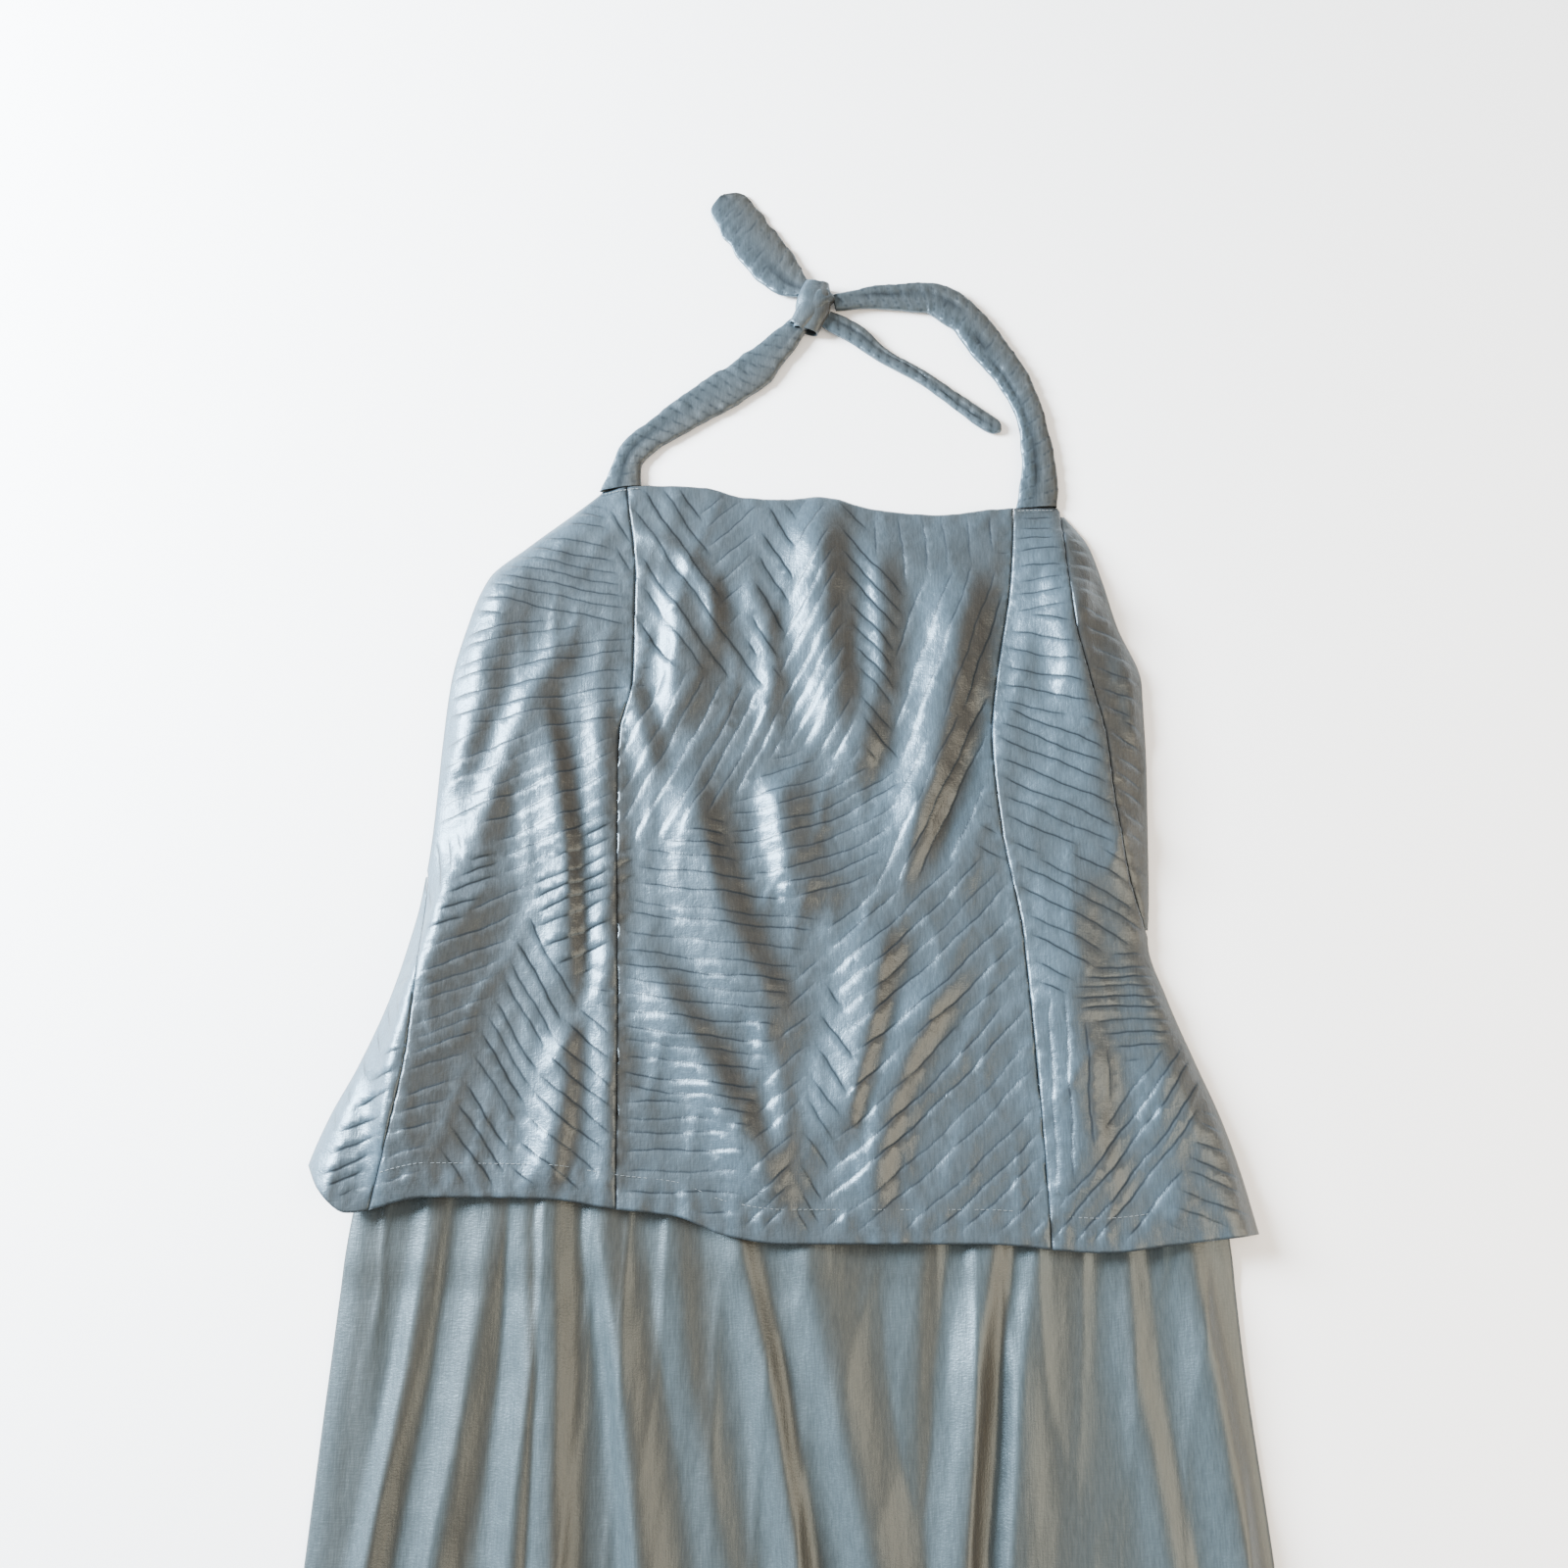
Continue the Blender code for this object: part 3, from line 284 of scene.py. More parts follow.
@dataclass(frozen=True)
class TuckSizes:
    """How a pressed tuck is shaped, in metres."""

    height: float = 0.0010
    step: float = 0.00045
    after: float = 0.0017
    sample: float = 0.0032
    shortest: float = 0.008
    # how clearly a point is in its leaf where tucks reach full height, and a mirrored
    # leaf's distance from its own axis
    leaf_fade: float = 0.05
    axis_clear: float = 0.0016
    # share of the height at a tuck's foot and just behind it
    foot_share: float = 0.10
    behind_share: float = 0.16
    # painted shade at the crest and behind it, and at the foot of a faint tuck
    crest_shade: float = 0.12
    foot_shade: float = 0.35
    # centre x, y, axis angle, half length, half width, rib angle from the axis, rib spacing,
    # whether the ribs repeat on the axis's other side, bow of a rib
    leaves: tuple = (
        (-0.160, 0.150, 80, 0.052, 0.056, -92, 0.0115, False, 0.0),
        (-0.166, 0.070, 80, 0.050, 0.052, -70, 0.0115, False, -0.4),
        (-0.166, -0.006, 80, 0.050, 0.056, -58, 0.0120, False, 0.6),
        (-0.206, -0.062, 62, 0.044, 0.022, 42, 0.0100, True, 0.0),
        (-0.128, -0.078, 72, 0.050, 0.030, 130, 0.0120, False, 0.0),
        (-0.190, -0.170, 252, 0.098, 0.046, 50, 0.0120, True, 0.8),
        (-0.130, -0.215, 80, 0.060, 0.030, -118, 0.0125, False, 0.8),
        (-0.262, -0.205, 62, 0.060, 0.026, 40, 0.0100, True, 0.0),
        (-0.072, 0.132, 128, 0.070, 0.030, 176, 0.0130, False, 0.3),
        (-0.022, 0.140, 262, 0.058, 0.028, 38, 0.0120, True, 0.0),
        (0.042, 0.100, 276, 0.086, 0.034, 34, 0.0120, True, 0.0),
        (0.100, 0.166, 8, 0.044, 0.024, 86, 0.0150, False, 0.0),
        (0.106, 0.092, 64, 0.066, 0.032, 6, 0.0150, False, 0.0),
        (-0.066, 0.012, 58, 0.056, 0.034, 4, 0.0120, False, 0.5),
        (-0.052, -0.130, 88, 0.096, 0.056, -94, 0.0110, False, 0.5),
        (-0.070, -0.235, 88, 0.042, 0.040, -88, 0.0110, False, 0.0),
        (0.022, -0.034, 20, 0.062, 0.036, 0, 0.0120, False, 2.4),
        (0.100, -0.014, 60, 0.062, 0.026, 4, 0.0130, False, 0.0),
        (0.012, -0.205, 262, 0.082, 0.026, 42, 0.0120, True, 0.0),
        (0.090, -0.118, 40, 0.070, 0.046, 2, 0.0140, False, 0.8),
        (0.096, -0.222, 42, 0.082, 0.060, 0, 0.0145, False, 0.8),
        (0.178, 0.150, 88, 0.042, 0.034, -88, 0.0105, False, -1.4),
        (0.186, 0.078, 76, 0.044, 0.040, -92, 0.0115, False, 0.0),
        (0.172, -0.006, 74, 0.056, 0.046, -100, 0.0125, False, 0.0),
        (0.178, -0.086, 84, 0.048, 0.040, -112, 0.0130, False, 0.0),
        (0.208, -0.142, 88, 0.032, 0.030, -86, 0.0080, False, 0.0),
        (0.174, -0.196, 80, 0.052, 0.026, 10, 0.0120, False, 0.0),
        (0.224, -0.226, 50, 0.060, 0.030, 0, 0.0115, False, 0.5),
        (0.262, -0.226, 76, 0.056, 0.024, -96, 0.0110, False, 0.0),
    )


@dataclass(frozen=True)
class TieSizes:
    """Sections of the neck tie: x, y, underside, thickness, width, edge lift."""

    left_strap: tuple = (
        (-0.1114, 0.2010, 0.0000, 0.0058, 0.029, 0.0000),
        (-0.1060, 0.2300, 0.0000, 0.0048, 0.020, 0.0006),
        (-0.0771, 0.2574, 0.0000, 0.0042, 0.023, 0.0014),
        (-0.0462, 0.2792, 0.0000, 0.0042, 0.029, 0.0018),
        (-0.0245, 0.2943, 0.0000, 0.0044, 0.028, 0.0018),
        (-0.0055, 0.3141, 0.0004, 0.0048, 0.022, 0.0012),
        (0.0103, 0.3318, 0.0016, 0.0054, 0.015, 0.0004),
    )
    right_strap: tuple = (
        (0.1710, 0.1870, 0.0000, 0.0058, 0.029, 0.0000),
        (0.1745, 0.2212, 0.0000, 0.0050, 0.024, 0.0008),
        (0.1710, 0.2574, 0.0000, 0.0050, 0.020, 0.0012),
        (0.1607, 0.2875, 0.0000, 0.0048, 0.022, 0.0014),
        (0.1432, 0.3148, 0.0000, 0.0048, 0.026, 0.0016),
        (0.1242, 0.3410, 0.0000, 0.0050, 0.026, 0.0018),
        (0.1000, 0.3545, 0.0000, 0.0054, 0.024, 0.0018),
        (0.0700, 0.3545, 0.0006, 0.0054, 0.019, 0.0012),
        (0.0355, 0.3490, 0.0020, 0.0060, 0.012, 0.0004),
    )
    left_end: tuple = (
        (0.0140, 0.3600, 0.0020, 0.0052, 0.014, 0.0002),
        (0.0040, 0.3670, 0.0008, 0.0044, 0.026, 0.0012),
        (-0.0090, 0.3830, 0.0000, 0.0036, 0.034, 0.0014),
        (-0.0266, 0.4088, 0.0000, 0.0032, 0.034, 0.0006),
        (-0.0390, 0.4290, 0.0000, 0.0032, 0.030, 0.0002),
        (-0.0445, 0.4380, 0.0000, 0.0030, 0.023, 0.0000),
    )
    right_end: tuple = (
        (0.0300, 0.3362, 0.0020, 0.0052, 0.014, 0.0002),
        (0.0495, 0.3256, 0.0010, 0.0048, 0.015, 0.0006),
        (0.0684, 0.3097, 0.0000, 0.0048, 0.011, 0.0004),
        (0.0954, 0.2928, 0.0000, 0.0048, 0.010, 0.0002),
        (0.1188, 0.2746, 0.0000, 0.0046, 0.011, 0.0002),
        (0.1406, 0.2574, 0.0000, 0.0046, 0.013, 0.0000),
        (0.1495, 0.2515, 0.0000, 0.0036, 0.009, 0.0000),
    )
    knot_wraps: tuple = (
        (
            (0.0150, 0.3265, 0.0012, 0.0090, 0.018, 0.0),
            (0.0185, 0.3370, 0.0010, 0.0120, 0.023, 0.0),
            (0.0215, 0.3510, 0.0010, 0.0128, 0.023, 0.0),
            (0.0235, 0.3640, 0.0014, 0.0090, 0.017, 0.0),
        ),
        (
            (0.0085, 0.3290, 0.0010, 0.0100, 0.012, 0.0),
            (0.0170, 0.3400, 0.0020, 0.0118, 0.016, 0.0),
            (0.0265, 0.3500, 0.0020, 0.0120, 0.015, 0.0),
            (0.0325, 0.3545, 0.0016, 0.0095, 0.011, 0.0),
        ),
    )
    # crease across the ribbon: share along, place across (-1 to 1), drop
    left_crease: tuple = ((0.0, 0.25, 0.0006), (0.4, 0.10, 0.0012), (1.0, -0.15, 0.0010))
    right_crease: tuple = (
        (0.0, 0.10, 0.0012),
        (0.45, 0.35, 0.0016),
        (0.75, -0.30, 0.0014),
        (1.0, 0.0, 0.0008),
    )
    knot_crease: tuple = ((0.0, 0.1, 0.0006), (1.0, -0.2, 0.0008))
    # cross tucks along a ribbon
    tuck_pitch: float = 0.0085
    # how full a ribbon's section is: 1 is an ellipse, less is squarer
    full_across: float = 0.62
    full_up: float = 0.8


# Curves and small relief


def curve_through(table: tuple, column: int) -> Curve:
    """Make a smooth function of a table's first column that passes every row.

    Args:
        table: Rows of numbers, the first of each the place.
        column: Which number of a row is read.

    Returns:
        A function of place, for one number or an array.
    """
    rows = np.array([(row[0], row[column]) for row in table], float)
    rows = rows[np.argsort(rows[:, 0])]
    at, value = rows[:, 0], rows[:, 1]
    run = np.diff(at)
    chord = np.diff(value) / run
    slope = np.zeros(len(at))
    for i in range(1, len(at) - 1):
        if chord[i - 1] * chord[i] > 0:
            a, b = 2 * run[i] + run[i - 1], run[i] + 2 * run[i - 1]
            slope[i] = (a + b) / (a / chord[i - 1] + b / chord[i])
    slope[0], slope[-1] = chord[0], chord[-1]

    def read(t: Points) -> Points:
        """Read the curve, level with its ends past them."""
        t = np.clip(np.asarray(t, float), at[0], at[-1])
        i = np.clip(np.searchsorted(at, t) - 1, 0, len(run) - 1)
        s = (t - at[i]) / run[i]
        rise = value[i] * (2 * s**3 - 3 * s**2 + 1) + value[i + 1] * (3 * s**2 - 2 * s**3)
        return rise + run[i] * (slope[i] * (s**3 - 2 * s**2 + s) + slope[i + 1] * (s**3 - s**2))

    return read


def smoothstep(low: float, high: float, t: Points) -> Points:
    """Blend from 0 at low to 1 at high."""
    s = np.clip((np.asarray(t, float) - low) / (high - low), 0.0, 1.0)
    return s * s * (3 - 2 * s)


def slant(curve: Curve, y: Points) -> Points:
    """Tell how much wider a near-upright edge is when read level than square to it.

    Args:
        curve: The edge, as a function of height.
        y: Heights.

    Returns:
        Ratios of 1 or more.
    """
    reach = 0.004
    lean = (curve(y + reach) - curve(y - reach)) / (2 * reach)
    return np.sqrt(1 + lean**2)


def ripple(x: Points, y: Points, size: float, seed: int) -> Points:
    """Give a smooth uneven pattern, the same in every run.

    Args:
        x: Places across.
        y: Places up.
        size: Typical length of a ripple, in metres.
        seed: Picks one pattern of many.

    Returns:
        Numbers of about -1 to 1.
    """
    chance = np.random.default_rng(seed)
    total = np.zeros(np.broadcast(x, y).shape)
    for _ in range(9):
        angle, phase = chance.uniform(0, 2 * math.pi, 2)
        wave = 2 * math.pi / (size * chance.uniform(0.7, 1.9))
        total = total + np.sin((x * math.cos(angle) + y * math.sin(angle)) * wave + phase)
    return total / 4.2


def crumple(x: Points, y: Points, size: float, seed: int) -> Points:
    """Give sharp-crested uneven ridges, as in crushed silk."""
    bent = x + 0.15 * size * ripple(x, y, size * 1.7, seed + 50)
    return np.clip(1.0 - np.abs(ripple(bent, y, size, seed)), 0.0, 1.0) ** 2


@dataclass(frozen=True)
class Relief:
    """One layer of small relief: height, typical length, pattern, stretch and kind."""

    height: float
    size: float
    seed: int
    stretch: tuple[float, float] = (1.0, 1.0)
    crushed: bool = False

    def at(self, x: Points, y: Points) -> Points:
        """Give the layer's heights."""
        pattern = crumple if self.crushed else ripple
        return self.height * pattern(x * self.stretch[0], y * self.stretch[1], self.size, self.seed)


@dataclass(frozen=True)
class WrinkleSizes:
    """The layers of small relief, and the bands that they keep to, in metres."""

    hem: Relief = Relief(0.00055, 0.0075, 11, (1.0, 0.25))
    hem_ledge: float = 0.0005
    neck: Relief = Relief(0.0004, 0.009, 12, (1.0, 0.3))
    seam: Relief = Relief(0.0004, 0.008, 13, (0.3, 1.0))
    seam_band: tuple[float, float] = (0.012, 0.002)
    neck_band: tuple[float, float] = (0.012, 0.004)
    edge_band: tuple[float, float] = (0.0, 0.012)
    bodice: tuple[Relief, ...] = (
        Relief(0.0006, 0.034, 14),
        Relief(0.00022, 0.011, 15),
        Relief(0.0013, 0.042, 16, (1.0, 0.45), crushed=True),
    )
    skirt: tuple[Relief, ...] = (
        Relief(0.0007, 0.020, 21, (1.0, 0.10)),
        Relief(0.00016, 0.008, 22, (1.0, 0.16)),
        Relief(0.00018, 0.030, 23, (0.2, 1.0)),
        Relief(0.0016, 0.030, 24, (1.0, 0.14), crushed=True),
    )
    skirt_band: tuple[float, float] = (0.0, 0.02)


# The dress's form


class DressForm:
    """Heights of the laid cloth over the floor, from the size tables."""

    def __init__(self, bodice: BodiceSizes, skirt: SkirtSizes, cloth: ClothSizes) -> None:
        """Read the tables into curves.

        Args:
            bodice: Sizes of the bodice.
            skirt: Sizes of the skirt.
            cloth: Thicknesses and clearances.
        """
        self.bodice, self.skirt, self.cloth = bodice, skirt, cloth
        self.body_left = curve_through(bodice.sides, 1)
        self.body_right = curve_through(bodice.sides, 2)
        self.neck = curve_through(bodice.neckline, 1)
        self.hem = curve_through(bodice.hem, 1)
        self.princess_left = curve_through(bodice.princess, 1)
        self.princess_right = curve_through(bodice.princess, 2)
        self.side_left = curve_through(bodice.left_side_seam, 1)
        self.side_right = curve_through(bodice.right_side_seam, 1)
        self.loft = curve_through(bodice.loft, 1)
        self.skirt_left = curve_through(skirt.sides, 1)
        self.skirt_right = curve_through(skirt.sides, 2)
        self.swell = curve_through(skirt.swell, 1)

    @staticmethod
    def across(curve: Curve, y: Points, x: Points) -> Points:
        """Measure the distance from a near-upright edge, square to it."""
        return (x - curve(y)) / slant(curve, y)

    def skirt_floor(self, y: Points) -> Points:
        """Give what the skirt rests on."""
        return (self.cloth.back_wall + self.cloth.gap) * smoothstep(*self.skirt.floor_ramp, y)

    def skirt_swell(self, x: Points, y: Points) -> Points:
        """Add up the skirt's folds.

        Args:
            x: Places across.
            y: Heights up the garment.

        Returns:
            Heights of the folds alone.
        """
        rows = [-row for row in self.skirt.fold_rows]
        total = np.zeros(np.broadcast(x, y).shape)
        for fold in self.skirt.folds:
            crests, heights, (left, right) = fold[:4], fold[4:7], fold[7:]
            offset = x - np.interp(-y, rows, crests)
            height = np.interp(-y, rows[:3], heights)
            width = np.where(offset < 0, left, right)
            total = np.maximum(total, height * np.exp(-((offset / width) ** 2)))
        return total * self.swell(y)

    def skirt_top(self, x: Points, y: Points) -> Points:
        """Give the outer face of the skirt front.

        Args:
            x: Places across.
            y: Heights up the garment.

        Returns:
            Heights above the floor.
        """
        x, y = np.asarray(x, float), np.asarray(y, float)
        lying = self.skirt_floor(y) + self.cloth.back_wall + self.cloth.gap + self.cloth.skirt_wall
        edge = np.minimum(self.across(self.skirt_left, y, x), -self.across(self.skirt_right, y, x))
        roll = np.clip(edge / self.cloth.skirt_roll, 0.0, 1.0)
        full = lying + self.cloth.skirt_air + self.skirt_swell(x, y)
        rim = self.skirt_floor(y) + self.cloth.skirt_wall
        return rim + (full - rim) * (1 - (1 - roll) ** 2)

    @staticmethod
    def fold_height(fold: tuple, x: Points, y: Points) -> Points:
        """Give one bodice fold: a soft ridge along a bent line, fading at both ends.

        Args:
            fold: A row of the fold table.
            x: Places across.
            y: Heights up the garment.

        Returns:
            Heights that the fold adds.
        """
        x0, y0, x1, y1, bend, height, width_left, width_right = fold
        run = np.array([x1 - x0, y1 - y0])
        length = np.hypot(*run)
        along = run / length
        u = ((x - x0) * along[0] + (y - y0) * along[1]) / length
        v = -(x - x0) * along[1] + (y - y0) * along[0] - bend * 4 * u * (1 - u)
        ends = smoothstep(-0.12, 0.20, u) * smoothstep(-0.12, 0.20, 1 - u)
        return height * ends * np.exp(-((v / np.where(v < 0, width_left, width_right)) ** 2))

    def bodice_top(self, x: Points, y: Points) -> Points:
        """Give the outer face of the bodice front, before its tucks.

        Args:
            x: Places across.
            y: Heights up the garment.

        Returns:
            Heights above the floor.
        """
        x, y = np.asarray(x, float), np.asarray(y, float)
        sizes = self.bodice
        thinned = 1.0 - sizes.neck_share
        at_neck = smoothstep(0.0, sizes.neck_band, self.neck(x) - y)
        full = self.loft(y) * (sizes.neck_share + thinned * at_neck)
        for fold in sizes.folds:
            full = full + self.fold_height(fold, x, y)
        ridge = self.side_right(np.clip(y, sizes.ridge_low, sizes.ridge_high))
        crown = smoothstep(sizes.ridge_low, -0.020, y) * smoothstep(sizes.ridge_high, 0.110, y)
        beside = (x - ridge + 0.004) / sizes.ridge_half
        full = full + sizes.ridge_height * crown * np.exp(-(beside**2))
        left, right = self.across(self.body_left, y, x), -self.across(self.body_right, y, x)
        wide = self.cloth.roll + sizes.ridge_height * crown
        roll = np.minimum(np.clip(left / self.cloth.roll, 0.0, 1.0), np.clip(right / wide, 0.0, 1.0))
        rolled = self.cloth.wall + (full - self.cloth.wall) * (1 - (1 - roll) ** 2)
        under = self.skirt_top(x, y) + self.cloth.clearance + self.cloth.wall
        inside = smoothstep(-0.002, 0.004, np.minimum(x - self.skirt_left(y), self.skirt_right(y) - x))
        below_waist = smoothstep(sizes.waist_y + 0.012, sizes.waist_y + 0.002, y)
        return np.maximum(rolled, under * inside * below_waist)


# Tucks


class Leaf(NamedTuple):
    """One leaf-like patch of tucks, a row of the leaf table."""

    x: float
    y: float
    axis: float
    half_length: float
    half_width: float
    rib_turn: float
    spacing: float
    mirrored: bool
    bow: float

    @property
    def reach(self) -> float:
        """Give how far the ribs are drawn, past the leaf's edge."""
        return (self.half_length + self.half_width) * 1.25


@dataclass
class TuckLine:
    """One pressed tuck: its crest and foot, and how strongly it stands at each point."""

    crest: Points
    foot: Points
    after: Points
    strength: Points


class LeafTucks:
    """Pressed tucks in leaf-like patches over the bodice."""

    def __init__(self, sizes: TuckSizes, form: DressForm) -> None:
        """Lay out the ribs of every leaf.

        Args:
            sizes: How a tuck is shaped, and the leaves.
            form: The dress's form.
        """
        self.sizes, self.form = sizes, form
        self.leaves = [Leaf(*row) for row in sizes.leaves]
        self.ribs = [self._rib_places(i) for i in range(len(self.leaves))]

    def _rib_places(self, index: int) -> tuple[Points, Points]:
        """Space the ribs of one leaf unevenly, as a hand does.

        Args:
            index: Which leaf.

        Returns:
            Offsets of the ribs across the leaf, and how strongly each is pressed.
        """
        leaf = self.leaves[index]
        chance = np.random.default_rng(400 + index)
        places = [-leaf.reach]
        while places[-1] < leaf.reach:
            places.append(places[-1] + leaf.spacing * chance.uniform(0.66, 1.16))
        return np.array(places), chance.uniform(0.55, 1.0, len(places))

    def owner(self, x: Points, y: Points) -> tuple[Points, Points]:
        """Find the leaf that each point lies in.

        Args:
            x: Places across.
            y: Heights up the garment.

        Returns:
            Leaf indices, and how clearly each point is in its leaf.
        """
        distances = []
        for leaf in self.leaves:
            angle = math.radians(leaf.axis)
            along = (x - leaf.x) * math.cos(angle) + (y - leaf.y) * math.sin(angle)
            beside = -(x - leaf.x) * math.sin(angle) + (y - leaf.y) * math.cos(angle)
            distances.append(np.hypot(along / leaf.half_length, beside / leaf.half_width))
        distances = np.array(distances)
        order = np.sort(distances, axis=0)
        return distances.argmin(axis=0), order[1] - order[0]

    def _frame_of(self, index: int) -> tuple[Points, Points, Points, Points]:
        """Give a leaf's centre, rib direction, rib normal and axis normal.

        Args:
            index: Which leaf.

        Returns:
            Four points of two numbers each.
        """
        leaf = self.leaves[index]
        axis, rib = math.radians(leaf.axis), math.radians(leaf.axis + leaf.rib_turn)
        return (
            np.array([leaf.x, leaf.y]),
            np.array([math.cos(rib), math.sin(rib)]),
            np.array([-math.sin(rib), math.cos(rib)]),
            np.array([-math.sin(axis), math.cos(axis)]),
        )

    @staticmethod
    def _wander(u: Points, place: Points) -> Points:
        """Let a rib stray a little from its line."""
        return 0.0006 * np.sin(u * 130 + place * 900) + 0.0002 * np.sin(u * 480 + place * 2100)

    def height(self, x: Points, y: Points) -> Points:
        """Give the relief between the ribs.

        Args:
            x: Places across.
            y: Heights up the garment.

        Returns:
            Heights to add to the form.
        """
        owner, clear = self.owner(x, y)
        total = np.zeros(len(x))
        for i, leaf in enumerate(self.leaves):
            mine = np.flatnonzero(owner == i)
            if not len(mine):
                continue
            centre, direction, normal, axis_normal = self._frame_of(i)
            offset = np.stack([x[mine], y[mine]], 1) - centre
            if leaf.mirrored:
                beside = offset @ axis_normal
                offset = np.where(beside[:, None] < 0, offset - 2 * beside[:, None] * axis_normal, offset)
            u = offset @ direction
            v = offset @ normal - leaf.bow * u * u
            places, strengths = self.ribs[i]
            k = np.clip(np.searchsorted(places, v - self._wander(u, v)) - 1, 0, len(places) - 2)
            share = np.clip((v - self._wander(u, places[k]) - places[k]) / (places[k + 1] - places[k]), 0, 1)
            rise = (0.12 + 0.88 * smoothstep(0.05, 1.0, share)) * strengths[k + 1]
            total[mine] = self.sizes.height * rise
        return total * smoothstep(0.0, self.sizes.leaf_fade, clear) * self._room(x, y)

    def _room(self, x: Points, y: Points) -> Points:
        """Fade the tucks at the bodice's edges.

        Args:
            x: Places across.
            y: Heights up the garment.

        Returns:
            Shares from 0 to 1.
        """
        edge = np.minimum(x - self.form.body_left(y), self.form.body_right(y) - x)
        ends = np.minimum(self.form.neck(x) - y, y - self.form.hem(x) - 0.004)
        return smoothstep(0.0, 0.006, np.minimum(edge, ends))

    def lines(self) -> list[TuckLine]:
        """Draw every tuck as a crest and a foot.

        Returns:
            The tucks of the whole bodice.
        """
        found = []
        for i, leaf in enumerate(self.leaves):
            centre, direction, normal, axis_normal = self._frame_of(i)
            places, strengths = self.ribs[i]
            u = np.arange(-leaf.reach, leaf.reach, self.sizes.sample)
            for place, strength in zip(places, strengths):
                stray = place + leaf.bow * u * u + self._wander(u, place)
                for side in (1, -1) if leaf.mirrored else (1,):
                    rows = []
                    for shift in (-self.sizes.step, self.sizes.step, self.sizes.after):
                        offset = direction * u[:, None] + normal * (stray + shift)[:, None]
                        beside = offset @ axis_normal
                        if side < 0:
                            offset = offset - 2 * beside[:, None] * axis_normal
                        rows.append(centre + offset)
                    base = direction * u[:, None] + normal * stray[:, None]
                    off_axis = base @ axis_normal > self.sizes.axis_clear
                    fits = off_axis if leaf.mirrored else np.ones(len(u), bool)
                    middle = rows[0]
                    owner, clear = self.owner(middle[:, 0], middle[:, 1])
                    room = self._room(middle[:, 0], middle[:, 1])
                    fits &= (owner == i) & (clear > 0.012) & (room > 0.30)
                    full = smoothstep(0.0, self.sizes.leaf_fade, clear) * room
                    stands = strength * (0.25 + 0.75 * full)
                    for run in self.runs(fits):
                        if (len(run) - 1) * self.sizes.sample >= self.sizes.shortest:
                            found.append(TuckLine(rows[0][run], rows[1][run], rows[2][run], stands[run]))
        return found

    @staticmethod
    def runs(fits: Points) -> list[Points]:
        """Split a row of flags into runs of true ones.

        Args:
            fits: Flags along a line.

        Returns:
            Index arrays, one for each run.
        """
        where = np.flatnonzero(fits)
        if not len(where):
            return []
        return np.split(where, np.flatnonzero(np.diff(where) > 1) + 1)


# Meshing


@dataclass
class Shell:
    """A piece of cloth before it becomes an object."""

    points: Points
    faces: Faces
    # painted light and shade by slope, as the shot silk's threads, and painted shade in creases and at panel
    # edges
    shot_and_light: Points
    crease_and_shade: Points


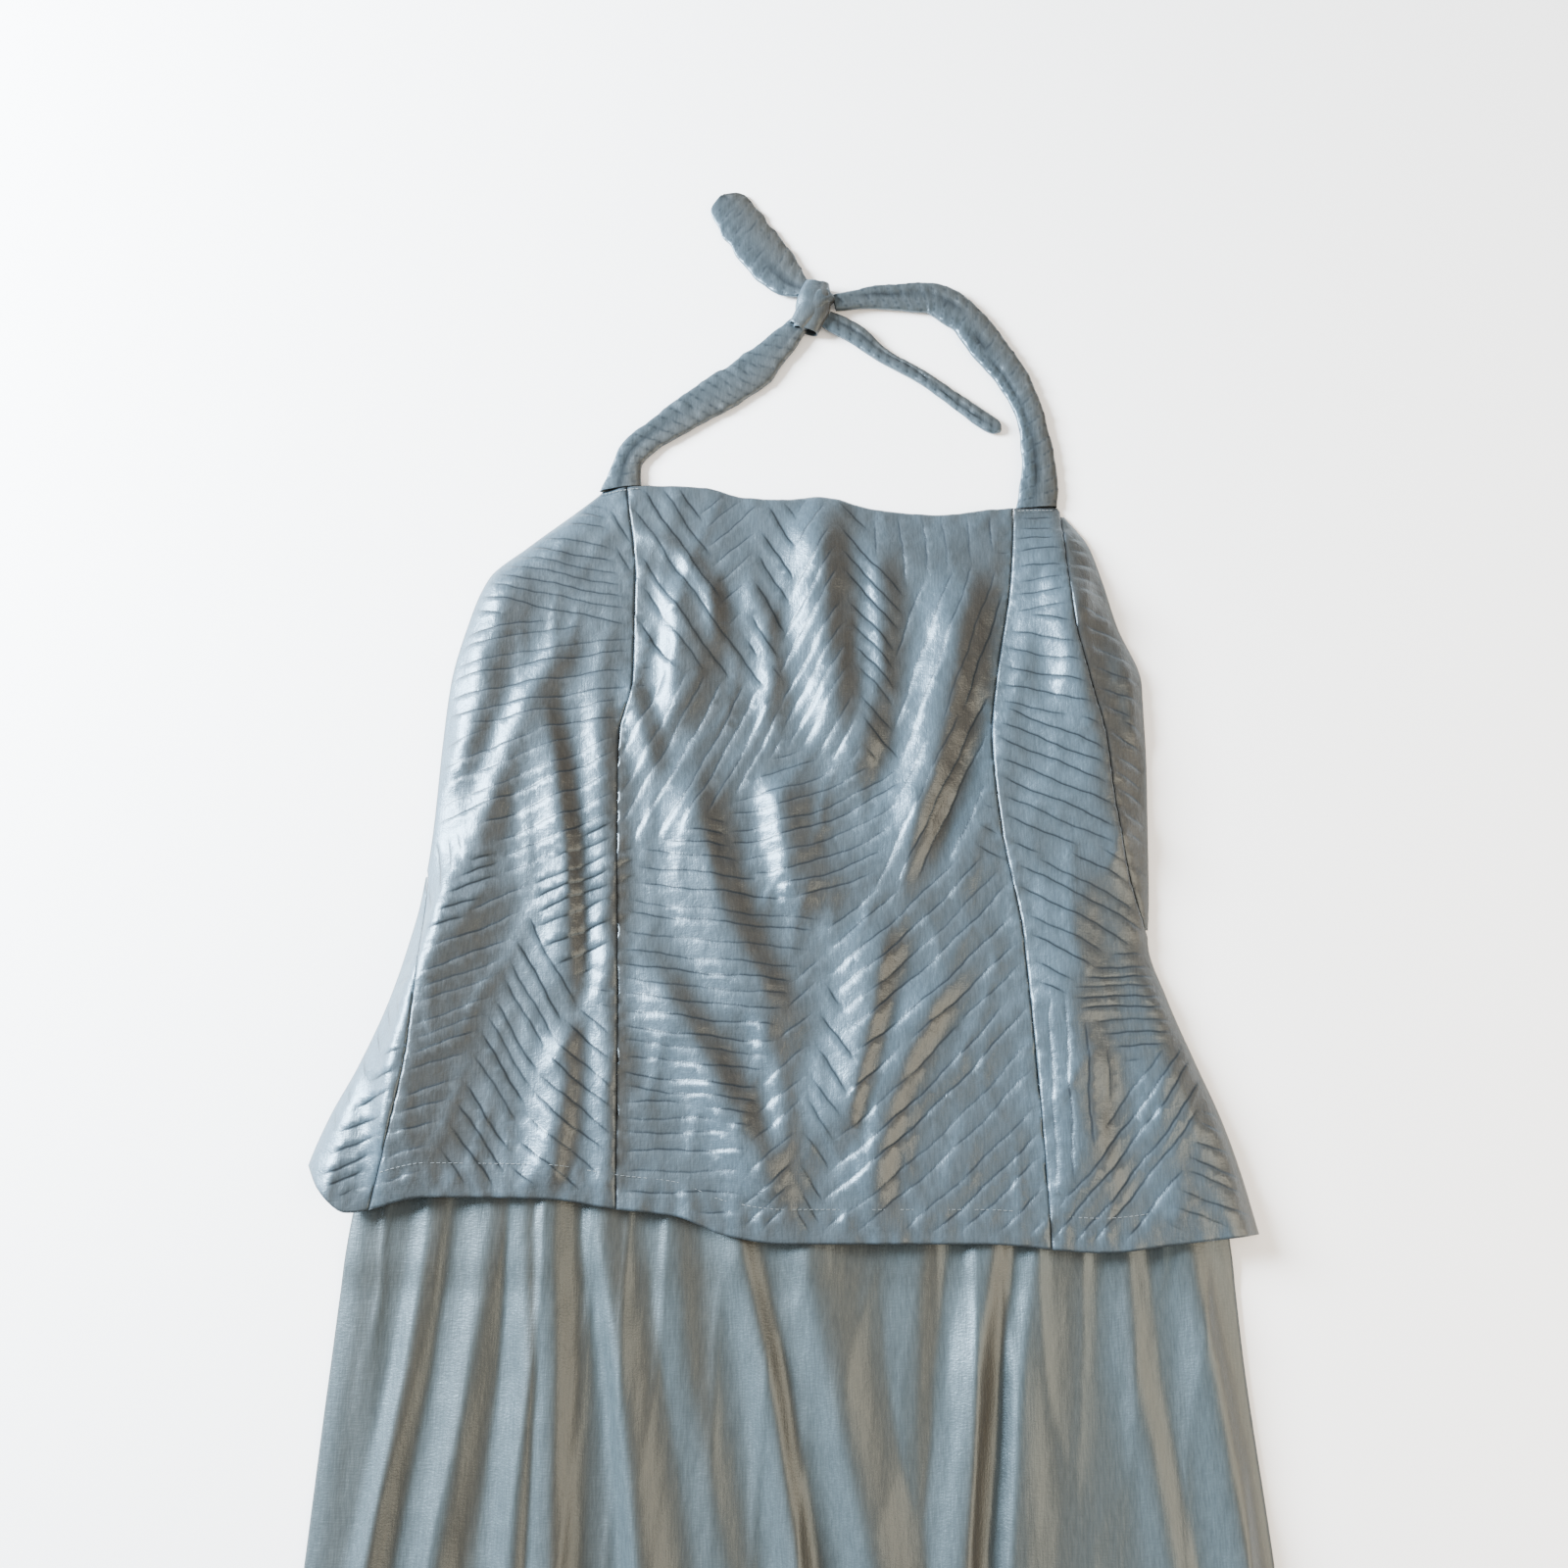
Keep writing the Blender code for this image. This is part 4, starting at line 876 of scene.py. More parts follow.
class Outlines:
    """Outlines of the bodice's panels, as the CAD cuts them."""

    def __init__(self, form: DressForm, step: float = 0.0030) -> None:
        """Keep the form and the spacing of points."""
        self.form, self.step = form, step

    @staticmethod
    def meeting(side: Curve, end: Curve, start: float) -> float:
        """Find where a near-upright curve meets a near-level one.

        Args:
            side: The near-upright curve.
            end: The near-level curve.
            start: A height to start from.

        Returns:
            The height where they meet.
        """
        y = start
        for _ in range(40):
            y = float(end(side(y)))
        return y

    def up(self, curve: Curve, low: float, high: float, shift: float) -> list[tuple[float, float]]:
        """Walk up a near-upright curve."""
        count = max(2, round((high - low) / self.step) + 1)
        return [(float(curve(y)) + shift, y) for y in np.linspace(low, high, count)]

    def along(self, curve: Curve, left: float, right: float) -> list[tuple[float, float]]:
        """Walk along a near-level curve, its ends left out."""
        count = max(2, round((right - left) / self.step) + 1)
        return [(x, float(curve(x))) for x in np.linspace(left, right, count)[1:-1]]

    def between(self, left: Curve, right: Curve) -> list[tuple[float, float]]:
        """Outline a panel between two near-upright curves.

        Args:
            left: The panel's left edge.
            right: The panel's right edge.

        Returns:
            An anticlockwise outline from peplum hem to neckline.
        """
        form, half = self.form, self.form.cloth.seam_half
        low_left, low_right = self.meeting(left, form.hem, -0.27), self.meeting(right, form.hem, -0.27)
        top_left, top_right = self.meeting(left, form.neck, 0.20), self.meeting(right, form.neck, 0.19)
        left_side = self.up(left, low_left, top_left, half)
        right_side = self.up(right, low_right, top_right, -half)
        hem = self.along(form.hem, left_side[0][0], right_side[0][0])
        neck = self.along(form.neck, left_side[-1][0], right_side[-1][0])
        return hem + right_side + neck[::-1] + left_side[::-1]

    def outer_left(self, y: Points) -> Points:
        """Give the outer edge of the left side front."""
        top = self.form.bodice.left_side_seam[0][0]
        return np.where(np.asarray(y) > top, self.form.body_left(y), self.form.side_left(y))

    def outer_right(self, y: Points) -> Points:
        """Give the outer edge of the right side front.

        Args:
            y: Heights up the garment.

        Returns:
            Places across.
        """
        y = np.asarray(y)
        rows = self.form.bodice.right_side_seam
        on_seam = (y < rows[0][0]) & (y > rows[-1][0])
        return np.where(on_seam, self.form.side_right(y), self.form.body_right(y))

    def panels(self) -> dict[str, list[tuple[float, float]]]:
        """Outline the five panels that show.

        Returns:
            Outlines by CAD node name.
        """
        form, half = self.form, self.form.cloth.seam_half
        top = form.bodice.left_side_seam[0][0] - 0.002
        low = self.meeting(form.side_left, form.hem, -0.265)
        wrap = self.up(form.side_left, low, top, -half)
        edge_low = self.meeting(form.body_left, form.hem, -0.245)
        edge = self.up(form.body_left, edge_low, top, 0.0)
        hem = self.along(form.hem, edge[0][0], wrap[0][0])
        outer = self.up(form.body_right, -0.0965, 0.187, 0.0)
        inner = self.up(form.side_right, -0.0965, 0.187, half)
        return {
            "centre_front": self.between(form.princess_left, form.princess_right),
            "side_front_left": self.between(self.outer_left, form.princess_left),
            "side_front_right": self.between(form.princess_right, self.outer_right),
            "side_back_left": hem + wrap + edge[::-1],
            "side_back_right": outer + inner[::-1],
        }


def inside_outline(points: Points, outline: list, margin: float) -> Points:
    """Tell which points lie inside an outline, clear of its edge.

    Args:
        points: Points of two numbers each.
        outline: The outline's corners.
        margin: Least distance from the outline.

    Returns:
        One flag for each point.
    """
    ring = np.array(outline)
    after = np.roll(ring, -1, axis=0)
    edge = after - ring
    length2 = np.maximum((edge**2).sum(1), 1e-14)
    flags = np.zeros(len(points), bool)
    for start in range(0, len(points), 2000):
        p = np.asarray(points[start : start + 2000])[:, None, :]
        straddles = (ring[:, 1] > p[..., 1]) != (after[:, 1] > p[..., 1])
        rise = np.where(edge[:, 1] == 0, 1e-12, edge[:, 1])
        cross = ring[:, 0] + (p[..., 1] - ring[:, 1]) * edge[:, 0] / rise
        odd = (straddles & (p[..., 0] < cross)).sum(1) % 2 == 1
        if margin > 0:
            t = np.clip(((p - ring) * edge).sum(-1) / length2, 0, 1)
            gap = np.sqrt(((p - ring - edge * t[..., None]) ** 2).sum(-1)).min(1)
            odd &= gap > margin
        flags[start : start + 2000] = odd
    return flags


@dataclass(frozen=True)
class PanelSizes:
    """How a tucked panel is filled with points and rolls in at its edge, in metres."""

    spacing: float = 0.0042
    tuck_clear: float = 0.0024
    rim: float = 0.0016
    rim_clear: float = 0.0012
    roll_drop: float = 0.0006
    # painted shade along a panel's edge, where it meets the next panel: its width, and how dark
    edge_shade_band: float = 0.0010
    edge_shade: float = 0.55


class PanelMesher:
    """Meshes a bodice panel with its tucks as true creases."""

    def __init__(self, form: DressForm, tucks: LeafTucks) -> None:
        """Prepare the tuck lines once for all panels.

        Args:
            form: The dress's form.
            tucks: The tuck pattern.
        """
        self.form, self.tucks = form, tucks
        self.sizes, self.wrinkles = PanelSizes(), WrinkleSizes()
        self.lines = tucks.lines()
        log.info("tucks: %d", len(self.lines))

    def shell(self, outline: list[tuple[float, float]]) -> Shell:
        """Mesh one panel as a thin closed shell.

        Args:
            outline: The panel's outline.

        Returns:
            The shell, with its shading values.
        """
        fixed, edges, heights, crease_shades = self._tuck_points(outline)
        rim = self._rim(outline)
        fill = self._fill(outline, np.vstack([fixed, rim]))
        free = np.vstack([rim, fill])
        flat, faces, where = self.triangles(outline, np.vstack([fixed, free]), edges)
        x, y = flat[:, 0], flat[:, 1]
        lift = self.tucks.height(x, y)
        # painted shade at the tucks' feet and behind their crests
        crease_and_shade = np.zeros(len(flat))
        count = len(outline)
        for i in range(len(fixed)):
            spot = where[i + count]
            lift[spot] = heights[i]
            crease_and_shade[spot] = crease_shades[i]
        base = self.form.bodice_top(x, y)
        lift = lift + self._wrinkles(x, y)
        edge = self._nearest(outline, flat)
        sizes = self.sizes
        rolled = sizes.roll_drop * (1 - smoothstep(0.0, sizes.rim, edge))
        tops = base + lift - rolled
        # painted shade along the panel's edge, where it meets the next panel
        at_edge = 1 - smoothstep(0.0, sizes.edge_shade_band, edge)
        crease_and_shade = np.maximum(crease_and_shade, sizes.edge_shade * at_edge)
        # painted light and shade by slope: the lit blue thread on slopes facing the window lamp, the shaded
        # brown on slopes facing away
        shot_and_light = self._shot_and_light(x, y)
        ring = [where[i] for i in range(count)]
        return close_shell(flat, tops, faces, ring, self.form.cloth.shell, shot_and_light, crease_and_shade)

    def _tuck_points(self, outline: list) -> tuple[Points, list, Points, Points]:
        """Gather the tuck lines that cross a panel.

        Args:
            outline: The panel's outline.

        Returns:
            Points, edges between them, their heights and their painted shade.
        """
        points, edges, heights, crease_shades = [], [], [], []
        sizes = self.tucks.sizes
        tall = sizes.height
        rough = np.array(outline)
        low, high = rough.min(0) - 0.002, rough.max(0) + 0.002
        for line in self.lines:
            if (line.crest.max(0) < low).any() or (line.crest.min(0) > high).any():
                continue
            fits = inside_outline(line.crest, outline, self.sizes.tuck_clear)
            for run in LeafTucks.runs(fits):
                if len(run) < 3:
                    continue
                ends = np.minimum(np.arange(len(run)), np.arange(len(run))[::-1])
                fade = np.clip((ends + 0.6) / 2.6, 0.0, 1.0)
                stands = line.strength[run]
                # painted shade: dark at a tuck's foot, lighter at its crest and just behind it
                shade = np.minimum(1.0, sizes.foot_shade + 0.75 * stands)
                rows = (
                    (line.crest[run], tall * stands * fade, sizes.crest_shade * fade),
                    (line.foot[run], tall * sizes.foot_share * stands, shade * fade),
                )
                for row, height, crease_and_shade in rows:
                    first = len(points)
                    points.extend(row)
                    heights.extend(height)
                    crease_shades.extend(crease_and_shade)
                    edges.extend((first + i, first + i + 1) for i in range(len(row) - 1))
                points.extend(line.after[run[1:-1]])
                heights.extend(tall * sizes.behind_share * stands[1:-1])
                crease_shades.extend(sizes.crest_shade * stands[1:-1])
        return np.array(points).reshape(-1, 2), edges, np.array(heights), np.array(crease_shades)

    def _rim(self, outline: list) -> Points:
        """Put a row of points just inside an outline, for its rolled edge.

        Args:
            outline: The panel's outline.

        Returns:
            The points.
        """
        ring = np.array(outline)
        ahead = np.roll(ring, -1, axis=0) - np.roll(ring, 1, axis=0)
        ahead /= np.hypot(*ahead.T)[:, None]
        inner = ring + np.stack([-ahead[:, 1], ahead[:, 0]], 1) * self.sizes.rim
        return inner[inside_outline(inner, outline, self.sizes.rim_clear)]

    def _fill(self, outline: list, taken: Points) -> Points:
        """Fill a panel with staggered points that keep off the lines.

        Args:
            outline: The panel's outline.
            taken: Points already placed.

        Returns:
            The filling points.
        """
        ring, spacing = np.array(outline), self.sizes.spacing
        low, high = ring.min(0), ring.max(0)
        rows = np.arange(low[1], high[1], spacing * 0.866)
        grid = np.array(
            [
                (x + (spacing / 2 if i % 2 else 0.0), y)
                for i, y in enumerate(rows)
                for x in np.arange(low[0], high[0], spacing)
            ]
        )
        grid = grid[inside_outline(grid, outline, spacing * 0.5)]
        return grid[self._nearest(taken, grid) > spacing * 0.45]

    @staticmethod
    def triangles(outline: list, points: Points, edges: list) -> tuple[Points, Faces, dict[int, int]]:
        """Triangulate a panel, keeping its outline and lines.

        Args:
            outline: The panel's outline.
            points: Points inside it.
            edges: Pairs of inner points to keep joined.

        Returns:
            Flat points, triangles, and where each given point ended up.
        """
        count = len(outline)
        coords = [Vector(p) for p in outline] + [Vector(p) for p in points]
        kept = [(i, (i + 1) % count) for i in range(count)]
        kept += [(a + count, b + count) for a, b in edges]
        found, _, faces, origins, _, _ = delaunay_2d_cdt(coords, kept, [], 0, 1e-7, True)
        where = {}
        for i, sources in enumerate(origins):
            for source in sources:
                where[source] = i
        flat = np.array([(v.x, v.y) for v in found])
        triangles = np.array(faces)
        inside = inside_outline(flat[triangles].mean(1), outline, 0.0)
        return flat, [tuple(int(i) for i in f) for f in triangles[inside]], where

    @staticmethod
    def _nearest(marks: list | Points, flat: Points) -> Points:
        """Measure how far each point lies from the nearest of some marks.

        Args:
            marks: Points such as an outline's corners.
            flat: The points to measure from.

        Returns:
            Distances in metres.
        """
        tree = KDTree(len(marks))
        for i, (x, y) in enumerate(marks):
            tree.insert((x, y, 0.0), i)
        tree.balance()
        return np.array([tree.find((x, y, 0.0))[2] for x, y in flat])

    def _wrinkles(self, x: Points, y: Points) -> Points:
        """Add small puckers at the hem, neckline and seams, and a hand-pressed unevenness.

        Args:
            x: Places across.
            y: Heights up the garment.

        Returns:
            Heights to add.
        """
        form, sizes = self.form, self.wrinkles
        turn = form.bodice.hem_turn
        hem = smoothstep(turn + 0.004, turn - 0.004, y - form.hem(x))
        neck = smoothstep(*sizes.neck_band, form.neck(x) - y)
        total = hem * (sizes.hem_ledge + sizes.hem.at(x, y)) + neck * sizes.neck.at(x, y)
        for seam in (form.princess_left, form.princess_right):
            beside = np.abs(form.across(seam, y, x))
            total = total + smoothstep(*sizes.seam_band, beside) * sizes.seam.at(x, y)
        total = total + sum(layer.at(x, y) for layer in sizes.bodice)
        inside = np.minimum(x - form.body_left(y), form.body_right(y) - x)
        return total * smoothstep(*sizes.edge_band, inside)

    def _shot_and_light(self, x: Points, y: Points) -> Points:
        """Paint light and shade by slope, as the shot silk's threads: 1, the lit blue, on slopes that face
        the window lamp on the left, 0, the shaded brown, on slopes that face right.
        """
        return shot_and_light_share(lambda a, b: self.form.bodice_top(a, b) + self._wrinkles(a, b) * 0.6, x, y)


def shot_and_light_share(surface: Surface, x: Points, y: Points) -> Points:
    """Paint light and shade by slope, as the shot silk's two threads.

    Args:
        surface: Height as a function of place.
        x: Places across.
        y: Heights up the garment.

    Returns:
        Shares from 0, painted shade in the brown thread, to 1, painted light in the blue one.
    """
    step, gain, bias = 0.0022, 2.6, 0.10
    # the window lamp's direction across the floor: slopes that face it are painted lit, slopes that face
    # away are painted shaded
    light_across, light_up = 0.94, 0.34
    dx = (surface(x + step, y) - surface(x - step, y)) / (2 * step)
    dy = (surface(x, y + step) - surface(x, y - step)) / (2 * step)
    lean = dx * light_across - dy * light_up
    return 0.5 + 0.5 * np.tanh(lean * gain + bias)


def close_shell(
    flat: Points, tops: Points, faces: Faces, ring: list[int], thick: float, shot_and_light: Points, crease_and_shade: Points
) -> Shell:
    """Give a sheet its thickness and close it round its edge.

    Args:
        flat: Places of the sheet's points.
        tops: Heights of its outer face.
        faces: Its triangles or quads, seen from above anticlockwise.
        ring: The points of its edge, anticlockwise.
        thick: Its thickness.
        shot_and_light: Painted light and shade at each point, as the shot silk's threads.
        crease_and_shade: Painted shade at each point, in creases and at panel edges.

    Returns:
        The closed shell.
    """
    count = len(flat)
    outer = np.column_stack([flat, tops])
    inner = np.column_stack([flat, np.maximum(tops - thick, 0.0)])
    points = np.vstack([outer, inner])
    closed = list(faces) + [tuple(i + count for i in reversed(f)) for f in faces]
    for i, a in enumerate(ring):
        b = ring[(i + 1) % len(ring)]
        closed.append((a + count, b + count, b, a))
    return Shell(points, closed, np.concatenate([shot_and_light, shot_and_light]), np.concatenate([crease_and_shade, crease_and_shade]))


# Materials


@dataclass(frozen=True)
class SilkFinish:
    """How one silk looks: both threads, painted lit and shaded by slope, painted shade in its creases, and
    its gloss.
    """

    name: str
    # the thread colours, painted by slope: the lit blue where slopes face the window lamp, the shaded brown
    # where they face away
    blue: tuple[float, float, float]
    shaded_brown: tuple[float, float, float]
    # painted shade in creases and at panel edges
    crease_and_shade: tuple[float, float, float]
    roughness: float
    metallic: float
    crinkle: float
    weave: float
    sheen: float = 0.08


FINISHES = {
    Cloth.TUCKED: SilkFinish(
        name="tucked_shot_silk",
        blue=(0.046, 0.074, 0.098),
        shaded_brown=(0.036, 0.029, 0.020),
        crease_and_shade=(0.005, 0.006, 0.008),
        roughness=0.37,
        metallic=0.30,
        crinkle=0.55,
        weave=0.30,
    ),
    Cloth.PLAIN: SilkFinish(
        name="plain_shot_silk",
        blue=(0.040, 0.056, 0.064),
        shaded_brown=(0.034, 0.028, 0.018),
        crease_and_shade=(0.005, 0.0055, 0.006),
        roughness=0.40,
        metallic=0.28,
        crinkle=0.22,
        weave=0.35,
    ),
    Cloth.TIE: SilkFinish(
        name="tie_shot_silk",
        blue=(0.046, 0.072, 0.094),
        shaded_brown=(0.036, 0.030, 0.021),
        crease_and_shade=(0.005, 0.006, 0.008),
        roughness=0.38,
        metallic=0.30,
        crinkle=0.60,
        weave=0.30,
    ),
}


class Nodes:
    """Small helper that adds and joins shader or geometry nodes."""

    def __init__(self, tree: bpy.types.NodeTree) -> None:
        """Take the tree to work on."""
        self.tree = tree

    def add(self, kind: str, **settings: object) -> bpy.types.Node:
        """Add a node.

        Args:
            kind: The node's type name.
            **settings: Attributes to set, or inputs by name when they start with "in_".

        Returns:
            The new node.
        """
        node = self.tree.nodes.new(kind)
        for key, value in settings.items():
            if key.startswith("in_"):
                node.inputs[key[3:].replace("_", " ")].default_value = value
            else:
                setattr(node, key, value)
        return node

    def join(self, source: bpy.types.NodeSocket, target: bpy.types.NodeSocket) -> None:
        """Link two sockets."""
        self.tree.links.new(source, target)

    def maths(
        self, operation: str, first: bpy.types.NodeSocket, second: bpy.types.NodeSocket
    ) -> bpy.types.NodeSocket:
        """Add a node that works on two values.

        Args:
            operation: What it does, such as ADD.
            first: An output socket.
            second: An output socket.

        Returns:
            The socket with the result.
        """
        node = self.add("ShaderNodeMath", operation=operation)
        self.join(first, node.inputs[0])
        self.join(second, node.inputs[1])
        return node.outputs[0]


def silk_relief_group() -> bpy.types.NodeTree:
    """Build the weave and crinkle of the silk as one shared group.

    Returns:
        A group with a height and a fleck output.
    """
    group = bpy.data.node_groups.new("silk_relief", "ShaderNodeTree")
    face = group.interface
    face.new_socket("Crinkle", in_out="INPUT", socket_type="NodeSocketFloat").default_value = 0.5
    face.new_socket("Weave", in_out="INPUT", socket_type="NodeSocketFloat").default_value = 0.3
    face.new_socket("Height", in_out="OUTPUT", socket_type="NodeSocketFloat")
    face.new_socket("Fleck", in_out="OUTPUT", socket_type="NodeSocketFloat")
    nodes = Nodes(group)
    start = nodes.add("NodeGroupInput")
    end = nodes.add("NodeGroupOutput")
    place = nodes.add("ShaderNodeTexCoord")
    slubs = []
    for stretch in ((1.0, 0.12, 1.0), (0.12, 1.0, 1.0)):
        mapping = nodes.add("ShaderNodeMapping", in_Scale=stretch)
        nodes.join(place.outputs["Object"], mapping.inputs["Vector"])
        noise = nodes.add("ShaderNodeTexNoise", in_Scale=900.0, in_Detail=2.0)
        nodes.join(mapping.outputs["Vector"], noise.inputs["Vector"])
        slubs.append(noise.outputs["Fac"])
    crinkle = nodes.add(
        "ShaderNodeTexNoise", in_Scale=170.0, in_Detail=4.0, in_Roughness=0.6, in_Distortion=0.6
    )
    nodes.join(place.outputs["Object"], crinkle.inputs["Vector"])
    weave = nodes.maths("MULTIPLY", nodes.maths("MULTIPLY", *slubs), start.outputs["Weave"])
    crushed = nodes.maths("MULTIPLY", crinkle.outputs["Fac"], start.outputs["Crinkle"])
    nodes.join(nodes.maths("ADD", weave, crushed), end.inputs["Height"])
    nodes.join(slubs[0], end.inputs["Fleck"])
    return group


class Silks:
    """Materials of the dress, made once each."""

    def __init__(self) -> None:
        """Build the shared group and every silk."""
        self.relief = silk_relief_group()
        self.made = {kind: self._silk(finish) for kind, finish in FINISHES.items()}
        self.thread = self._thread()

    def _silk(self, finish: SilkFinish) -> bpy.types.Material:
        """Build one silk.

        Args:
            finish: Its colours and gloss.

        Returns:
            The material.
        """
        material = bpy.data.materials.new(finish.name)
        material.use_nodes = True
        nodes = Nodes(material.node_tree)
        shader = material.node_tree.nodes["Principled BSDF"]
        # painted light and shade: the slope share mixes the lit blue and the shaded brown
        shot_and_light = nodes.add("ShaderNodeAttribute", attribute_name="shot_and_light")
        crease_and_shade = nodes.add("ShaderNodeAttribute", attribute_name="crease_and_shade")
        relief = nodes.add("ShaderNodeGroup")
        relief.node_tree = self.relief
        relief.inputs["Crinkle"].default_value = finish.crinkle
        relief.inputs["Weave"].default_value = finish.weave
        threads_and_light = nodes.add("ShaderNodeMix", data_type="RGBA")
        threads_and_light.inputs["A"].default_value = (*finish.shaded_brown, 1.0)
        threads_and_light.inputs["B"].default_value = (*finish.blue, 1.0)
        nodes.join(shot_and_light.outputs["Fac"], threads_and_light.inputs["Factor"])
        mottle = nodes.add(
            "ShaderNodeMapRange", in_From_Min=0.30, in_From_Max=0.70, in_To_Min=0.80, in_To_Max=1.18
        )
        nodes.join(relief.outputs["Fleck"], mottle.inputs["Value"])
        flecked = nodes.add("ShaderNodeMix", data_type="RGBA", blend_type="MULTIPLY")
        flecked.inputs["Factor"].default_value = 1.0
        nodes.join(threads_and_light.outputs["Result"], flecked.inputs["A"])
        nodes.join(mottle.outputs["Result"], flecked.inputs["B"])
        # painted shade in creases and at panel edges, mixed over the thread colours
        shaded = nodes.add("ShaderNodeMix", data_type="RGBA")
        shaded.inputs["B"].default_value = (*finish.crease_and_shade, 1.0)
        nodes.join(crease_and_shade.outputs["Fac"], shaded.inputs["Factor"])
        nodes.join(flecked.outputs["Result"], shaded.inputs["A"])
        nodes.join(shaded.outputs["Result"], shader.inputs["Base Color"])
        bump = nodes.add("ShaderNodeBump", in_Strength=0.55, in_Distance=0.0012)
        nodes.join(relief.outputs["Height"], bump.inputs["Height"])
        nodes.join(bump.outputs["Normal"], shader.inputs["Normal"])
        gloss = {
            "Roughness": finish.roughness,
            "Metallic": finish.metallic,
            "IOR": 1.60,
            "Specular Tint": (0.66, 0.86, 1.0, 1.0),
            "Sheen Weight": finish.sheen,
            "Sheen Roughness": 0.4,
            "Sheen Tint": (0.80, 0.90, 1.0, 1.0),
        }
        for socket, value in gloss.items():
            shader.inputs[socket].default_value = value
        return material

    @staticmethod
    def _thread() -> bpy.types.Material:
        """Build the sewing thread.

        Returns:
            The material.
        """
        material = bpy.data.materials.new("sewing_thread")
        material.use_nodes = True
        nodes = Nodes(material.node_tree)
        shader = material.node_tree.nodes["Principled BSDF"]
        place = nodes.add("ShaderNodeTexCoord")
        noise = nodes.add("ShaderNodeTexNoise", in_Scale=1400.0)
        nodes.join(place.outputs["Object"], noise.inputs["Vector"])
        tone = nodes.add("ShaderNodeMix", data_type="RGBA")
        tone.inputs["A"].default_value = (0.10, 0.12, 0.13, 1.0)
        tone.inputs["B"].default_value = (0.20, 0.23, 0.25, 1.0)
        nodes.join(noise.outputs["Fac"], tone.inputs["Factor"])
        nodes.join(tone.outputs["Result"], shader.inputs["Base Color"])
        shader.inputs["Roughness"].default_value = 0.55
        return material


# Pieces


class Dressmaker:
    """Turns shells into pieces of the frame."""

    def __init__(self, layout: LayoutSizes, silks: Silks) -> None:
        """Keep what every piece needs."""
        self.layout, self.silks = layout, silks

    @staticmethod
    def plain_back(flat: Points, bed: Points, faces: Faces, ring: list[int], thick: float) -> Shell:
        """Lay a plain back with no relief and an even tone."""
        even, smooth = np.full(len(flat), 0.35), np.zeros(len(flat))
        return close_shell(flat, bed + thick, faces, ring, thick, even, smooth)

    def piece(self, name: str, shell: Shell, cloth: Cloth, node: str) -> bpy.types.Object:
        """Make a piece that stands for a CAD node.

        Args:
            name: The piece's name.
            shell: Its points, faces and shading values.
            cloth: Which silk it is cut from.
            node: The CAD node it replaces.

        Returns:
            The object.
        """
        mesh = bpy.data.meshes.new(name)
        shift = np.array(self.layout.shift)
        mesh.from_pydata([tuple(p) for p in shell.points + shift], [], shell.faces)
        for key, values in (("shot_and_light", shell.shot_and_light), ("crease_and_shade", shell.crease_and_shade)):
            layer = mesh.attributes.new(key, "FLOAT", "POINT")
            layer.data.foreach_set("value", np.asarray(values, np.float32))
        mesh.update()
        mesh.shade_smooth()
        mesh.set_sharp_from_angle(angle=math.radians(80))
        mesh.materials.append(self.silks.made[cloth])
        made = bpy.data.objects.new(name, mesh)
        bpy.context.scene.collection.objects.link(made)
        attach(made, "root")
        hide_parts(node)
        area = sum(face.area for face in mesh.polygons) / 2
        log.info("%s: %d faces, cloth %.4f m2", name, len(shell.faces), area)
        return made


class Bodice:
    """The five tucked panels and the plain back."""

    # width, length and area of the cloth of each panel
    CUTS: dict[str, tuple[float, float, float]] = {
        "centre_front": (0.268, 0.502, 0.128),
        "side_front_left": (0.150, 0.478, 0.058),
        "side_front_right": (0.153, 0.490, 0.041),
        "side_back_left": (0.066, 0.210, 0.0071),
        "side_back_right": (0.050, 0.286, 0.0083),
    }

    def __init__(self, maker: Dressmaker, form: DressForm, tucks: LeafTucks) -> None:
        """Keep the tools."""
        self.maker, self.form = maker, form
        self.mesher = PanelMesher(form, tucks)

    def build(self) -> list[bpy.types.Object]:
        """Make every bodice piece.

        Returns:
            The pieces, the back last.
        """
        made = []
        back = self._back()
        for node, outline in Outlines(self.form).panels().items():
            piece = self.maker.piece(f"{node}_silk", self.mesher.shell(outline), Cloth.TUCKED, node)
            made.append(piece)
        return made + [back]

    def _back(self) -> bpy.types.Object:
        """Lay the back of the bodice flat on the floor.

        Returns:
            The piece.
        """
        form, inset = self.form, self.form.cloth.rim_in
        high, side_lift, hem_lift = form.bodice.back_top_y, 0.010, 0.006
        lines = Outlines(form, 0.012)
        low = lines.meeting(form.body_left, form.hem, -0.27) + side_lift
        low_right = lines.meeting(form.body_right, form.hem, -0.27) + side_lift
        left = lines.up(self._inset(form.body_left, inset), low, high, 0.0)
        right = lines.up(self._inset(form.body_right, -inset), low_right, high, 0.0)
        hem = [(x, y + hem_lift) for x, y in lines.along(form.hem, left[0][0], right[0][0])]
        top = lines.along(lambda x: high, left[-1][0], right[-1][0])
        outline = hem + right + top[::-1] + left[::-1]
        flat, faces, where = PanelMesher.triangles(outline, np.zeros((0, 2)), [])
        ring = [where[i] for i in range(len(outline))]
        bed = np.zeros(len(flat))
        shell = self.maker.plain_back(flat, bed, faces, ring, form.cloth.back_shell)
        piece = self.maker.piece("bodice_back_silk", shell, Cloth.PLAIN, "bodice_back")
        return piece

    @staticmethod
    def _inset(curve: Curve, distance: float) -> Curve:
        """Move an edge square to itself.

        Args:
            curve: The edge, as a function of height.
            distance: How far, positive to the right.

        Returns:
            The moved edge.
        """

        def read(y: Points) -> Points:
            """Read the moved edge."""
            return curve(y) + distance * slant(curve, np.asarray(y, float))

        return read


